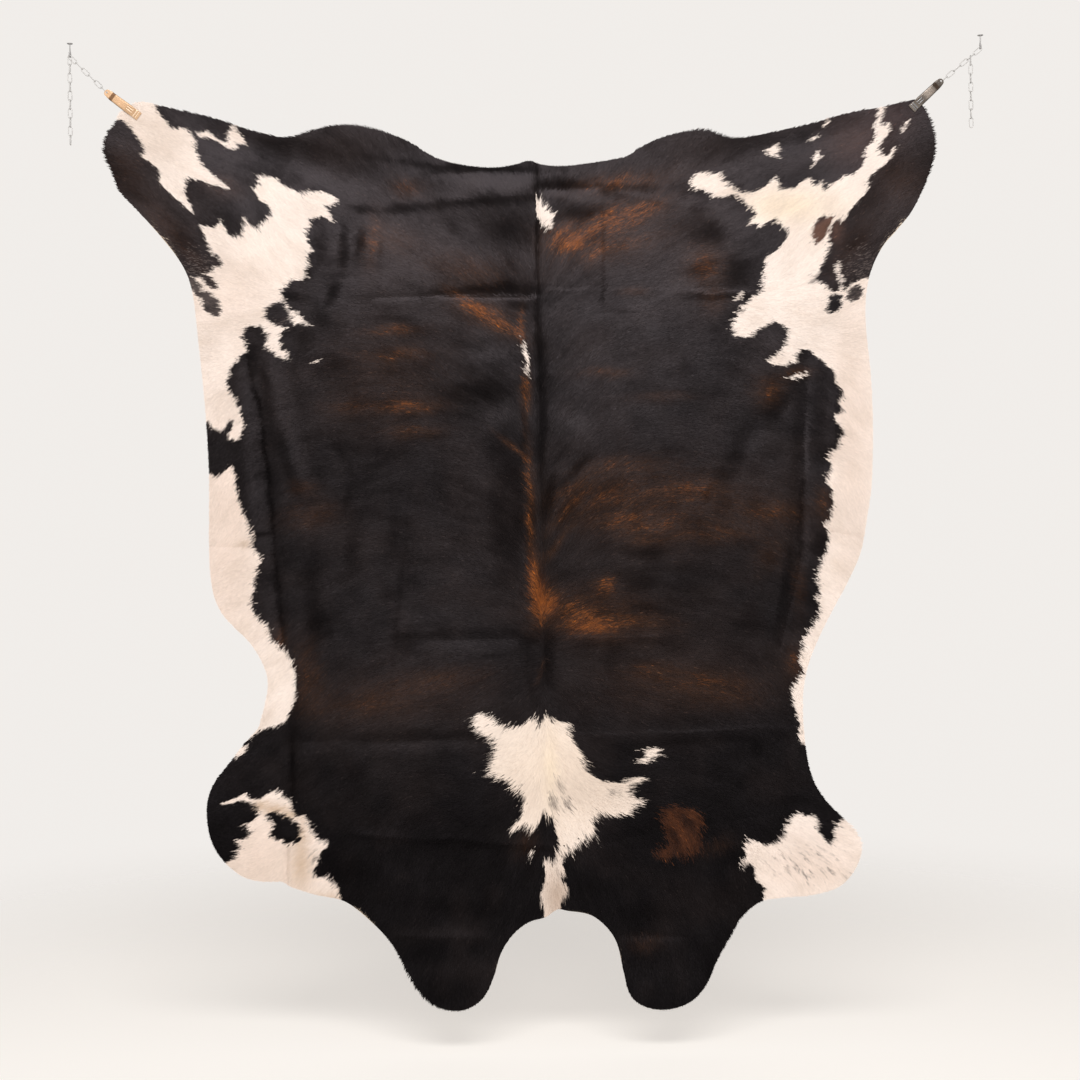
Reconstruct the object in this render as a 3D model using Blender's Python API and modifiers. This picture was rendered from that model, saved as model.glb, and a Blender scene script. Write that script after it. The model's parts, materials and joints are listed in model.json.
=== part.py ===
"""Cowhide rug hung by its two fore shanks from spring clips, chains and ceiling hooks.

Metres, +Z up. The origin lies on the ceiling, midway between the two hooks. The hair side
faces -Y. The hide is one sheet of uneven outline. Each clip is two sprung levers on a coiled
spring, and each chain is a row of long links, one linked through the next.
"""

import math
from collections import namedtuple

import bmesh
import bpy
import numpy as np
from mathutils import Matrix, Vector
from mathutils.geometry import delaunay_2d_cdt

MM = 0.001

# The hanging points and the sheet.
HOOK_SPAN = 2208 * MM
HIDE_THICKNESS = 4.0 * MM
FIT_GAP = 0.3 * MM

# How finely the hide is divided.
RIM_STEP = 36 * MM
LATTICE_STEP = 47 * MM
RIM_CLEARANCE = 0.55
FOLD_END_FADE = 0.18

# The long-link chain.
LINK_WIRE_RADIUS = 1.0 * MM
LINK_INNER_LENGTH = 22.0 * MM
LINK_INNER_WIDTH = 7.0 * MM
LINK_PLAY = 0.5 * MM
LINK_LENGTH = LINK_INNER_LENGTH + 2 * LINK_WIRE_RADIUS
LINK_HALF_WIDTH = LINK_INNER_WIDTH / 2 + LINK_WIRE_RADIUS
LINK_PITCH = LINK_LENGTH - 2 * LINK_WIRE_RADIUS - LINK_PLAY
LINK_END_STEPS = 4
LINK_ROUNDNESS = 1
RUN_LINKS = 6

# The ceiling hook, a screw hook whose thread is in the ceiling.
HOOK_WIRE_RADIUS = 1.5 * MM
HOOK_DROP = 33.0 * MM
HOOK_BEND_RADIUS = 6.0 * MM
HOOK_SHANK = 14.0 * MM
HOOK_PLATE_RADIUS = 7.0 * MM
HOOK_PLATE_THICKNESS = 1.6 * MM
HOOK_PLATE_SIDES = 24
HOOK_ROUNDNESS = 2
HOOK_LEAD_STEPS = 4
HOOK_BEND_STEPS = 9
HOOK_TIP_OUT = 0.72 * MM
HOOK_TIP_RISE = 4.0 * MM

# The clip: two pressed levers, open at the tail and closed on the hide at the jaw.
CLIP_LENGTH = 102.0 * MM
CLIP_PLATE = 1.2 * MM
CLIP_TAIL_HALF_WIDTH = 8.5 * MM
CLIP_JAW_HALF_WIDTH = 10.5 * MM
CLIP_TAIL_OPENING = 8.0 * MM
CLIP_SPRING_OPENING = 5.0 * MM
CLIP_SPRING_PLACE = 44.0 * MM
CLIP_SPRING_LENGTH = 15.0 * MM
CLIP_SPRING_SIDES = 20
CLIP_HOLE_PLACE = 5.5 * MM
CLIP_HOLE_RADIUS = 2.6 * MM
CLIP_HOLE_SIDES = 16
CLIP_GRIP_PLACE = 90.0 * MM
CLIP_JAW_OPENING = HIDE_THICKNESS / 2 + FIT_GAP

# The chains pass through the back levers, so the hide hangs in front of the hooks' plane.
HIDE_PLANE_Y = -(CLIP_TAIL_OPENING + CLIP_PLATE / 2)

# Where the jaws grip, the hide stays flat. Around that its folds fade in.
GRIP_FLAT_RADIUS = 85 * MM
GRIP_FADE_RADIUS = 220 * MM

Hanging = namedtuple("Hanging", "side chain_slope_deg clip_slope_deg tail_links tail_on_run")
HANGINGS = {
    "left": Hanging(-1, 44.5, 37.2, 10, False),
    "right": Hanging(+1, 39.5, 42.6, 8, True),
}

# The free tail of the left chain hangs on the hook beside the run. The right one hangs on
# the run's second link, this far along it from the link's middle.
TAIL_BESIDE = 2.6 * MM
TAIL_ALONG = 2.0 * MM

# The hide's outline as it hangs, clockwise from the left clip, in millimetres:
# across from the middle of the hooks, and drop below the ceiling.
OUTLINE_MM = {
    "left clip corner": ((-987, 191), (-981, 172), (-956, 153), (-928, 146), (-897, 153)),
    "left shank top": ((-837, 168), (-752, 188), (-668, 217), (-607, 233)),
    "left neck lobe": (
        (-564, 237), (-523, 226), (-472, 214), (-421, 213), (-358, 224),
        (-305, 241), (-269, 259), (-233, 282), (-192, 298)),
    "neck": ((-136, 309), (-76, 313), (-27, 306), (7, 297), (36, 306), (82, 311), (142, 306), (239, 291)),
    "right neck lobe": (
        (268, 273), (305, 255), (344, 242), (392, 233), (426, 232), (462, 241), (487, 248), (518, 249)),
    "right shank top": ((591, 235), (688, 214), (773, 190), (857, 176), (918, 162), (947, 158)),
    "right shank end": ((966, 182), (981, 221), (989, 270), (981, 318), (962, 371)),
    "right shank inside": ((933, 427), (896, 472), (864, 508), (839, 554), (824, 602)),
    "right flank": (
        (818, 660), (821, 726), (830, 811), (835, 907), (835, 1004),
        (831, 1089), (819, 1169), (802, 1251), (769, 1323)),
    "right waist": ((730, 1393), (698, 1455), (671, 1521), (658, 1588), (657, 1661), (664, 1733)),
    "right hind shank": (
        (678, 1797), (709, 1850), (750, 1894), (783, 1933), (792, 1969),
        (775, 2018), (738, 2058), (675, 2078)),
    "right thigh": ((603, 2084), (549, 2094), (503, 2131), (473, 2179)),
    "right butt lobe": (
        (441, 2237), (417, 2289), (379, 2329), (324, 2347), (269, 2341), (233, 2313), (216, 2252)),
    "tail notch": (
        (202, 2191), (176, 2150), (138, 2122), (84, 2112), (58, 2108), (31, 2126), (-13, 2139), (-52, 2170)),
    "left butt lobe": (
        (-79, 2213), (-96, 2266), (-121, 2314), (-155, 2338), (-191, 2344), (-236, 2332), (-275, 2298)),
    "left thigh": ((-306, 2247), (-340, 2189), (-390, 2135), (-455, 2084), (-527, 2066)),
    "left hind shank": (
        (-588, 2046), (-607, 2034), (-655, 2033), (-701, 2019), (-747, 1977),
        (-775, 1921), (-782, 1848), (-766, 1795), (-731, 1749)),
    "left waist": ((-690, 1696), (-661, 1664), (-647, 1620), (-636, 1559), (-648, 1508), (-679, 1457)),
    "left flank": (
        (-715, 1421), (-749, 1382), (-770, 1328), (-778, 1243), (-777, 1134),
        (-777, 1038), (-781, 941), (-787, 844), (-796, 747), (-803, 670)),
    "left shank inside": ((-810, 611), (-823, 565), (-847, 522), (-881, 478), (-917, 436), (-957, 392)),
    "left shank end": ((-988, 356), (-1003, 312), (-1019, 268), (-1013, 228)),
}

# Folds and creases as lines on the hide, in millimetres (across, drop). Depth is towards the
# hair side's viewer where positive, and half_width is how far the fold reaches to each side.
Fold = namedtuple("Fold", "name start end half_width depth")
FOLDS = (
    Fold("spine, neck part", (14, 300), (22, 900), 36, -8.0),
    Fold("spine, back part", (22, 840), (40, 1700), 36, -9.0),
    Fold("left flank fold", (-640, 700), (-585, 1500), 38, -12.0),
    Fold("left flank roll", (-700, 800), (-670, 1250), 34, 9.0),
    Fold("left hind fold", (-585, 1560), (-590, 2060), 38, -11.0),
    Fold("right flank fold", (690, 720), (655, 1330), 38, -12.0),
    Fold("right flank roll", (745, 820), (735, 1200), 34, 8.0),
    Fold("right hind fold", (620, 1500), (640, 1980), 42, -8.0),
    Fold("neck bend, left", (-470, 430), (20, 375), 36, 7.0),
    Fold("neck bend, right", (20, 350), (560, 400), 36, 5.0),
    Fold("first cross crease, left", (-380, 622), (20, 610), 34, -7.0),
    Fold("first cross crease, right", (20, 610), (530, 612), 34, -3.5),
    Fold("second cross crease, left", (-300, 1458), (25, 1438), 34, -5.5),
    Fold("second cross crease, right", (25, 1436), (360, 1436), 34, 4.5),
    Fold("third cross crease", (-560, 1690), (580, 1655), 36, -4.0),
    Fold("fourth cross crease, left", (-410, 1905), (-10, 1935), 36, 5.0),
    Fold("fourth cross crease, right", (150, 1935), (590, 1850), 38, -4.0),
    Fold("left lobe bend", (-300, 2150), (-120, 2160), 36, 5.0),
    Fold("right lobe bend", (230, 2155), (430, 2155), 36, 5.0),
    Fold("left armpit pull", (-640, 660), (-480, 900), 40, -7.0),
    Fold("left armpit second pull", (-560, 560), (-400, 900), 44, 6.0),
    Fold("right armpit pull", (690, 700), (520, 980), 44, -6.0),
    Fold("left clip pull", (-900, 190), (-300, 370), 46, -11.0),
    Fold("right clip pull", (900, 200), (330, 330), 46, -11.0),
    Fold("left shoulder pull", (-880, 260), (-560, 560), 58, 13.0),
    Fold("right shoulder pull", (880, 260), (610, 560), 58, 12.0),
)

# Broad swells of the hanging hide, in millimetres: centre, radii across and down, depth.
Swell = namedtuple("Swell", "name across drop reach_across reach_drop depth")
SWELLS = (
    Swell("left shoulder", -420, 640, 260, 330, 18),
    Swell("right shoulder", 380, 700, 260, 340, 15),
    Swell("left ribs", -330, 1230, 240, 360, -14),
    Swell("right ribs", 330, 1230, 250, 330, 14),
    Swell("left rump", -260, 1800, 260, 260, 16),
    Swell("right rump", 330, 1830, 260, 260, 12),
    Swell("left fore shank curl", -1020, 300, 110, 170, -20),
    Swell("right fore shank curl", 1000, 300, 110, 170, -18),
    Swell("left flank edge", -830, 1100, 110, 420, -20),
    Swell("right flank edge", 880, 1050, 120, 420, -20),
    Swell("left hind shank curl", -800, 1900, 130, 190, 24),
    Swell("right hind shank curl", 830, 1960, 140, 150, 20),
    Swell("left butt lobe curl", -190, 2400, 190, 190, 28),
    Swell("right butt lobe curl", 330, 2400, 190, 190, 22),
    Swell("left neck lobe curl", -420, 190, 170, 90, 18),
    Swell("right neck lobe curl", 420, 205, 150, 90, 15),
)

MATERIALS = {
    "cowhide": ((0.035, 0.028, 0.026), 0.55, 0.0),
    "clip steel": ((0.62, 0.58, 0.54), 0.22, 1.0),
    "clip warm steel": ((0.80, 0.55, 0.30), 0.28, 1.0),
    "spring steel": ((0.45, 0.44, 0.43), 0.35, 1.0),
    "chain steel": ((0.72, 0.72, 0.71), 0.30, 1.0),
    "hook steel": ((0.78, 0.78, 0.77), 0.28, 1.0),
}


def clear_scene():
    """Remove whatever objects the scene holds."""
    for old in list(bpy.data.objects):
        bpy.data.objects.remove(old, do_unlink=True)


def new_collection(name):
    """Return a new collection linked to the scene."""
    collection = bpy.data.collections.new(name)
    bpy.context.scene.collection.children.link(collection)
    return collection


def make_material(name):
    """Return the named Principled material from its table row."""
    colour, roughness, metallic = MATERIALS[name]
    material = bpy.data.materials.new(name)
    material.use_nodes = True
    shader = material.node_tree.nodes["Principled BSDF"]
    shader.inputs["Base Color"].default_value = (*colour, 1.0)
    shader.inputs["Roughness"].default_value = roughness
    shader.inputs["Metallic"].default_value = metallic
    return material


def add_mesh_object(name, bm, collection, material=None):
    """Store a bmesh as a new object in a collection."""
    mesh = bpy.data.meshes.new(name)
    bm.to_mesh(mesh)
    bm.free()
    piece = bpy.data.objects.new(name, mesh)
    collection.objects.link(piece)
    if material is not None:
        mesh.materials.append(material)
    return piece


def add_cylinder(name, radius, depth, segments, matrix, collection, material=None):
    """Add a closed cylinder whose axis is the matrix's own Z."""
    bm = bmesh.new()
    bmesh.ops.create_cone(
        bm, cap_ends=True, segments=segments, radius1=radius, radius2=radius, depth=depth)
    piece = add_mesh_object(name, bm, collection, material)
    piece.matrix_world = matrix
    return piece


def boolean(piece, other, operation):
    """Cut or join one solid with another, kept as a modifier."""
    other.hide_render = True
    other.display_type = "WIRE"
    modifier = piece.modifiers.new(operation.lower(), "BOOLEAN")
    modifier.operation = operation
    modifier.object = other


# The hide.

def smooth_loop(points, step):
    """Sample a closed Catmull-Rom curve through the points at about the given step."""
    samples = []
    count = len(points)
    for index in range(count):
        before, start, end, after = (points[(index + shift) % count] for shift in (-1, 0, 1, 2))
        pieces = max(1, round(float(np.linalg.norm(end - start)) / step))
        for part in range(pieces):
            t = part / pieces
            samples.append(0.5 * (
                2 * start + (end - before) * t
                + (2 * before - 5 * start + 4 * end - after) * t ** 2
                + (3 * start - before - 3 * end + after) * t ** 3))
    return np.array(samples)


def hide_outline():
    """Return the outline's corner points in metres, as (x, z) pairs."""
    places = [place for stretch in OUTLINE_MM.values() for place in stretch]
    return np.array([(across * MM, -drop * MM) for across, drop in places])


def distance_to_loop(points, loop):
    """Return each point's distance to the closed loop."""
    start = loop
    run = np.roll(loop, -1, axis=0) - loop
    away = points[:, None, :] - start[None, :, :]
    along = np.clip((away * run).sum(axis=2) / (run * run).sum(axis=1), 0, 1)
    return np.linalg.norm(away - along[:, :, None] * run, axis=2).min(axis=1)


def inside_loop(points, loop):
    """Return which points lie inside the closed loop."""
    x, z = points[:, 0:1], points[:, 1:2]
    x0, z0 = loop[:, 0], loop[:, 1]
    x1, z1 = np.roll(x0, -1), np.roll(z0, -1)
    crosses = (z0 > z) != (z1 > z)
    rise = np.where(z1 == z0, 1.0, z1 - z0)
    meets = x < (x1 - x0) * (z - z0) / rise + x0
    return (crosses & meets).sum(axis=1) % 2 == 1


def lattice_inside(loop):
    """Return points of a triangular lattice that lie well inside the loop."""
    low, high = loop.min(axis=0), loop.max(axis=0)
    row_step = LATTICE_STEP * math.sqrt(3) / 2
    rows = int((high[1] - low[1]) / row_step) + 1
    columns = int((high[0] - low[0]) / LATTICE_STEP) + 1
    points = np.array([
        (low[0] + (column + 0.5 * (row % 2)) * LATTICE_STEP, low[1] + row * row_step)
        for row in range(rows) for column in range(columns)])
    points = points[inside_loop(points, loop)]
    return points[distance_to_loop(points, loop) > RIM_CLEARANCE * LATTICE_STEP]


def ease(value):
    """Ease from 0 to 1, flat at both ends."""
    value = min(1.0, max(0.0, value))
    return value * value * (3 - 2 * value)


def fold_height(fold, across, drop):
    """Return one fold's height at a place, all in millimetres."""
    run = Vector(fold.end) - Vector(fold.start)
    away = Vector((across, drop)) - Vector(fold.start)
    along = away.dot(run) / run.length_squared
    sideways = (away - run * along).length
    fade = 2 * FOLD_END_FADE
    taper = ease((along + FOLD_END_FADE) / fade) * ease((1 + FOLD_END_FADE - along) / fade)
    return fold.depth * taper * math.exp(-(sideways / fold.half_width) ** 2)


def swell_height(swell, across, drop):
    """Return one broad swell's height at a place, all in millimetres."""
    spread = ((across - swell.across) / swell.reach_across) ** 2
    spread += ((drop - swell.drop) / swell.reach_drop) ** 2
    return swell.depth * math.exp(-spread)


def grip_points():
    """Return the (x, z) places where the two jaws hold the hide."""
    return [clip_frame(hanging).grip for hanging in HANGINGS.values()]


def relief(x, z, grips):
    """Return how far the hide stands forward of its plane, in metres."""
    across, drop = x / MM, -z / MM
    height = sum(fold_height(fold, across, drop) for fold in FOLDS)
    height += sum(swell_height(swell, across, drop) for swell in SWELLS)
    reach = min((Vector((x, z)) - grip).length for grip in grips)
    held = ease((reach - GRIP_FLAT_RADIUS) / (GRIP_FADE_RADIUS - GRIP_FLAT_RADIUS))
    return height * MM * held


def build_hide(collection, material):
    """Build the hide: its outline filled with even triangles, folded, then given thickness."""
    loop = smooth_loop(hide_outline(), RIM_STEP)
    places = [Vector(point) for point in np.vstack((loop, lattice_inside(loop)))]
    filled = delaunay_2d_cdt(places, [], [list(range(len(loop)))], 1, 1e-6)
    grips = grip_points()
    bm = bmesh.new()
    corners = [bm.verts.new((x, HIDE_PLANE_Y - relief(x, z, grips), z)) for x, z in filled[0]]
    for face in filled[2]:
        bm.faces.new([corners[index] for index in face])
    bmesh.ops.recalc_face_normals(bm, faces=bm.faces)
    bm.normal_update()
    hide = add_mesh_object("hide", bm, collection, material)
    hide.data.shade_smooth()
    thickness = hide.modifiers.new("thickness", "SOLIDIFY")
    thickness.thickness = HIDE_THICKNESS
    thickness.offset = 0.0
    return hide


# Where the chains and clips lie, worked out from the hooks down.

ClipFrame = namedtuple("ClipFrame", "tail along across grip")


def slope_direction(hanging, degrees):
    """Return the unit direction that runs inwards and down at a slope."""
    angle = math.radians(degrees)
    return Vector((-hanging.side * math.cos(angle), 0, -math.sin(angle)))


def hook_seat(hanging):
    """Return the middle of the hook's wire at the lowest point of its bend."""
    return Vector((hanging.side * HOOK_SPAN / 2, 0, -HOOK_DROP))


def run_link_centre(hanging, index):
    """Return the centre of one link of the run from hook to clip."""
    down = slope_direction(hanging, hanging.chain_slope_deg)
    first = LINK_LENGTH / 2 - (HOOK_WIRE_RADIUS + LINK_WIRE_RADIUS + FIT_GAP)
    return hook_seat(hanging) + down * (first + index * LINK_PITCH)


def clip_frame(hanging):
    """Return a clip's tail end, its direction to the jaw, its width direction and its grip."""
    pull = slope_direction(hanging, hanging.chain_slope_deg)
    seat = run_link_centre(hanging, RUN_LINKS - 1) + pull * LINK_LENGTH / 2
    hole = seat + pull * (CLIP_HOLE_RADIUS - LINK_WIRE_RADIUS - FIT_GAP)
    along = slope_direction(hanging, hanging.clip_slope_deg)
    tail = hole - along * CLIP_HOLE_PLACE
    grip = tail + along * CLIP_GRIP_PLACE
    return ClipFrame(tail, along, Vector((along.z, 0, -along.x)), Vector((grip.x, grip.z)))


# The ceiling hooks.

def hook_route():
    """Return the hook wire's route in its own YZ plane, from the plate to the open tip."""
    centre_z = -HOOK_DROP + HOOK_BEND_RADIUS
    route = [(0.0, -HOOK_PLATE_THICKNESS / 2), (0.0, -HOOK_SHANK)]
    for step in range(1, HOOK_LEAD_STEPS):
        t = step / HOOK_LEAD_STEPS
        route.append((HOOK_BEND_RADIUS * ease(t), -HOOK_SHANK + (centre_z + HOOK_SHANK) * t))
    for step in range(HOOK_BEND_STEPS + 1):
        angle = math.pi * step / HOOK_BEND_STEPS
        route.append((HOOK_BEND_RADIUS * math.cos(angle), centre_z - HOOK_BEND_RADIUS * math.sin(angle)))
    route.append((-HOOK_BEND_RADIUS - HOOK_TIP_OUT, centre_z + HOOK_TIP_RISE))
    return route


def curve_to_solid(name, curve, collection, material):
    """Turn a bevelled curve into a closed mesh object in a collection."""
    guide = bpy.data.objects.new(name + "_guide", curve)
    bpy.context.scene.collection.objects.link(guide)
    bpy.context.view_layer.update()
    evaluated = guide.evaluated_get(bpy.context.evaluated_depsgraph_get())
    mesh = bpy.data.meshes.new_from_object(evaluated)
    bm = bmesh.new()
    bm.from_mesh(mesh)
    bmesh.ops.remove_doubles(bm, verts=bm.verts, dist=1e-6)
    bmesh.ops.recalc_face_normals(bm, faces=bm.faces)
    bpy.data.objects.remove(guide, do_unlink=True)
    piece = add_mesh_object(name, bm, collection, material)
    piece.data.shade_smooth()
    return piece


def wire_curve(name, points, radius, roundness, cyclic):
    """Return a round wire as a bevelled POLY curve through the points."""
    curve = bpy.data.curves.new(name, "CURVE")
    curve.dimensions = "3D"
    curve.bevel_depth = radius
    curve.bevel_resolution = roundness
    curve.use_fill_caps = not cyclic
    spline = curve.splines.new("POLY")
    spline.points.add(len(points) - 1)
    for place, point in zip(spline.points, points):
        place.co = (*point, 1.0)
    spline.use_cyclic_u = cyclic
    return curve


def build_hook(name, hanging, collection, cutters, material):
    """Build one ceiling hook: a round plate on the ceiling and a bent wire under it."""
    x = hanging.side * HOOK_SPAN / 2
    route = [(x, y, z) for y, z in hook_route()]
    curve = wire_curve(name, route, HOOK_WIRE_RADIUS, HOOK_ROUNDNESS, False)
    wire = curve_to_solid(name + "_wire", curve, cutters, None)
    place = Matrix.Translation((x, 0, -HOOK_PLATE_THICKNESS / 2))
    hook = add_cylinder(
        name, HOOK_PLATE_RADIUS, HOOK_PLATE_THICKNESS, HOOK_PLATE_SIDES, place, collection, material)
    boolean(hook, wire, "UNION")
    return hook


# The chains.

def link_points():
    """Return a link's wire route in its own XY plane, long along X."""
    half_straight = LINK_LENGTH / 2 - LINK_HALF_WIDTH
    points = []
    for end in (1, -1):
        for step in range(LINK_END_STEPS + 1):
            angle = math.pi * (step / LINK_END_STEPS - 0.5)
            points.append((
                end * (half_straight + LINK_HALF_WIDTH * math.cos(angle)),
                end * LINK_HALF_WIDTH * math.sin(angle), 0.0))
    return points


def add_link(name, centre, along, side, collection, material):
    """Add one link, long in one direction and wide in another."""
    normal = along.cross(side)
    frame = Matrix((along, side, normal)).transposed()
    points = [centre + frame @ Vector(point) for point in link_points()]
    curve = wire_curve(name, points, LINK_WIRE_RADIUS, LINK_ROUNDNESS, True)
    return curve_to_solid(name, curve, collection, material)


def build_run(name, hanging, collection, material):
    """Build the links from hook to clip, turned by a quarter from one to the next."""
    along = slope_direction(hanging, hanging.chain_slope_deg)
    flat_side = Vector((along.z, 0, -along.x))
    for index in range(RUN_LINKS):
        side = Vector((0, 1, 0)) if index % 2 else flat_side
        add_link(f"{name}_run_{index + 1}", run_link_centre(hanging, index), along, side,
                 collection, material)


def tail_start(hanging):
    """Return the free tail's first link: its centre, and whether it faces the front."""
    if hanging.tail_on_run:
        along = slope_direction(hanging, hanging.chain_slope_deg)
        seat = run_link_centre(hanging, 1) + along * TAIL_ALONG - Vector((0, LINK_HALF_WIDTH, 0))
        slack = (2 * LINK_WIRE_RADIUS + LINK_PLAY) / math.cos(math.radians(hanging.chain_slope_deg))
        return seat + Vector((0, 0, slack - LINK_LENGTH / 2)), False
    lean = math.asin(TAIL_BESIDE / HOOK_BEND_RADIUS)
    rise = HOOK_BEND_RADIUS * (1 - math.cos(lean))
    slack = (HOOK_WIRE_RADIUS + LINK_WIRE_RADIUS + FIT_GAP) / math.cos(lean)
    seat = hook_seat(hanging) + Vector((0, -TAIL_BESIDE, rise))
    return seat + Vector((0, 0, slack - LINK_LENGTH / 2)), True


def build_tail(name, hanging, collection, material):
    """Build the chain's free end, which hangs straight down."""
    centre, faces_front = tail_start(hanging)
    down = Vector((0, 0, -1))
    for index in range(hanging.tail_links):
        turned = (index % 2 == 1) == faces_front
        side = Vector((0, 1, 0)) if turned else Vector((1, 0, 0))
        add_link(f"{name}_tail_{index + 1}", centre + down * LINK_PITCH * index, down, side,
                 collection, material)


# The clips.

# A lever's inner face from tail to jaw, in millimetres: place along, opening from the middle.
LeverBend = namedtuple("LeverBend", "place opening")
LEVER_BENDS = (
    LeverBend(0.6, CLIP_TAIL_OPENING / MM),
    LeverBend(2.5, CLIP_TAIL_OPENING / MM),
    LeverBend(5.0, CLIP_TAIL_OPENING / MM),
    LeverBend(8.5, CLIP_TAIL_OPENING / MM),
    LeverBend(18.0, CLIP_TAIL_OPENING / MM),
    LeverBend(26.0, CLIP_SPRING_OPENING / MM),
    LeverBend(60.0, CLIP_SPRING_OPENING / MM),
    LeverBend(82.0, CLIP_JAW_OPENING / MM + 0.6),
    LeverBend(87.0, CLIP_JAW_OPENING / MM),
    LeverBend(CLIP_LENGTH / MM, CLIP_JAW_OPENING / MM),
)


def lever_half_width(place):
    """Return a lever's half width: round at the tail, then widening to the jaw."""
    if place < CLIP_TAIL_HALF_WIDTH:
        return math.sqrt(CLIP_TAIL_HALF_WIDTH ** 2 - (CLIP_TAIL_HALF_WIDTH - place) ** 2)
    share = (place - CLIP_TAIL_HALF_WIDTH) / (CLIP_LENGTH - CLIP_TAIL_HALF_WIDTH)
    return CLIP_TAIL_HALF_WIDTH + (CLIP_JAW_HALF_WIDTH - CLIP_TAIL_HALF_WIDTH) * share


def build_lever(name, frame, facing, collection, cutters, material):
    """Build one lever as a bent strip. Facing is -1 for the front lever and +1 for the back."""
    bm = bmesh.new()
    rows = []
    for bend in LEVER_BENDS:
        place = bend.place * MM
        middle = frame.tail + frame.along * place
        middle.y = HIDE_PLANE_Y + facing * bend.opening * MM
        half = frame.across * lever_half_width(place)
        rows.append([bm.verts.new(middle + half * sign) for sign in (-1, 1)])
    for lower, upper in zip(rows, rows[1:]):
        bm.faces.new((lower[0], lower[1], upper[1], upper[0]))
    bm.normal_update()
    outward = Vector((0, facing, 0))
    if sum(face.normal.dot(outward) for face in bm.faces) < 0:
        bmesh.ops.reverse_faces(bm, faces=bm.faces)
    lever = add_mesh_object(name, bm, collection, material)
    plate = lever.modifiers.new("plate", "SOLIDIFY")
    plate.thickness = CLIP_PLATE
    plate.offset = 1.0
    hole = frame.tail + frame.along * CLIP_HOLE_PLACE
    hole.y = HIDE_PLANE_Y + facing * CLIP_TAIL_OPENING
    turn = Matrix.Translation(hole) @ Matrix.Rotation(math.radians(90), 4, "X")
    cutter = add_cylinder(
        name + "_hole", CLIP_HOLE_RADIUS, 6 * CLIP_PLATE, CLIP_HOLE_SIDES, turn, cutters)
    boolean(lever, cutter, "DIFFERENCE")
    return lever


def build_spring(name, frame, collection, material):
    """Build the coiled spring between the levers as its outer barrel."""
    centre = frame.tail + frame.along * CLIP_SPRING_PLACE
    centre.y = HIDE_PLANE_Y
    turn = Vector((0, 0, 1)).rotation_difference(frame.across).to_matrix().to_4x4()
    return add_cylinder(
        name, CLIP_SPRING_OPENING - FIT_GAP, CLIP_SPRING_LENGTH, CLIP_SPRING_SIDES,
        Matrix.Translation(centre) @ turn, collection, material)


def build_clip(name, hanging, collection, cutters, steel, spring_steel):
    """Build a clip: front lever, back lever and the spring between them."""
    frame = clip_frame(hanging)
    build_lever(name + "_front", frame, -1, collection, cutters, steel)
    build_lever(name + "_back", frame, +1, collection, cutters, steel)
    build_spring(name + "_spring", frame, collection, spring_steel)


def main():
    """Build the rug and what it hangs from."""
    clear_scene()
    collection = new_collection("cowhide rug hung from clips")
    cutters = new_collection("cutters")
    materials = {name: make_material(name) for name in MATERIALS}
    build_hide(collection, materials["cowhide"])
    clip_steels = {"left": materials["clip warm steel"], "right": materials["clip steel"]}
    for side, hanging in HANGINGS.items():
        build_hook("hook_" + side, hanging, collection, cutters, materials["hook steel"])
        build_run("chain_" + side, hanging, collection, materials["chain steel"])
        build_tail("chain_" + side, hanging, collection, materials["chain steel"])
        build_clip("clip_" + side, hanging, collection, cutters, clip_steels[side],
                   materials["spring steel"])


main()
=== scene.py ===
"""Looks of the cowhide rug that hangs by its two fore shanks from clips, chains and hooks.

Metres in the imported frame, +Z up, hair side towards -Y. The hide is a thin leather sheet on
the folds of its solid, with finer creases. Its coat is laid on it as short tapered blades that
follow the lie of the hair, each with its own colour from the charted markings.
"""

import json
import math
from collections import namedtuple

import bmesh
import bpy
import numpy as np
from mathutils import Matrix, Vector
from mathutils.geometry import delaunay_2d_cdt

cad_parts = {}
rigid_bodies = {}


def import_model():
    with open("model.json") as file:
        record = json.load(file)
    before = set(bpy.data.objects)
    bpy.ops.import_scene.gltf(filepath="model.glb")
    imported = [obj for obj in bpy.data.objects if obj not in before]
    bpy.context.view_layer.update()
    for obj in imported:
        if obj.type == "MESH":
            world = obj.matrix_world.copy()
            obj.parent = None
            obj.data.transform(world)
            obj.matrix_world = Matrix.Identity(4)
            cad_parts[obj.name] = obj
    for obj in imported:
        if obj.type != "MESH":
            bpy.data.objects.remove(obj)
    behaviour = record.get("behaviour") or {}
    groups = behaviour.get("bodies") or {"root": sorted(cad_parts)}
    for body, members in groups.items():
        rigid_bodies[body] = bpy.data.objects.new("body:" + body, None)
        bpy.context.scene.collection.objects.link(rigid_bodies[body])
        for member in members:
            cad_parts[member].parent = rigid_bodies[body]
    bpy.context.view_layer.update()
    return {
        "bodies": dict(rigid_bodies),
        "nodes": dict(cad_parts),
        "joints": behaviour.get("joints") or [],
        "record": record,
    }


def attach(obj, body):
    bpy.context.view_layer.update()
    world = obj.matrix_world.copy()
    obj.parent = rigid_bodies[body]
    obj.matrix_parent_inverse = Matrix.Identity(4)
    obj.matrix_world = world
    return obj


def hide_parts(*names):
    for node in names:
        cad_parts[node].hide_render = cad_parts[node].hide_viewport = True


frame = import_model()

MM = 0.001
SEED = 11

# Smooth noises on the hide: their strength, the size of their lumps in millimetres and their
# seed. Streaks are noises drawn out along the lie of the hair, by so many millimetres a step.
Noise = namedtuple("Noise", "strength size seed")
Streaks = namedtuple("Streaks", "strength size step seed")
NOISE_CELLS = 256
STREAK_STEPS = (-2, -1, 0, 1, 2)
STREAK_EVENING = 2.4

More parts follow.
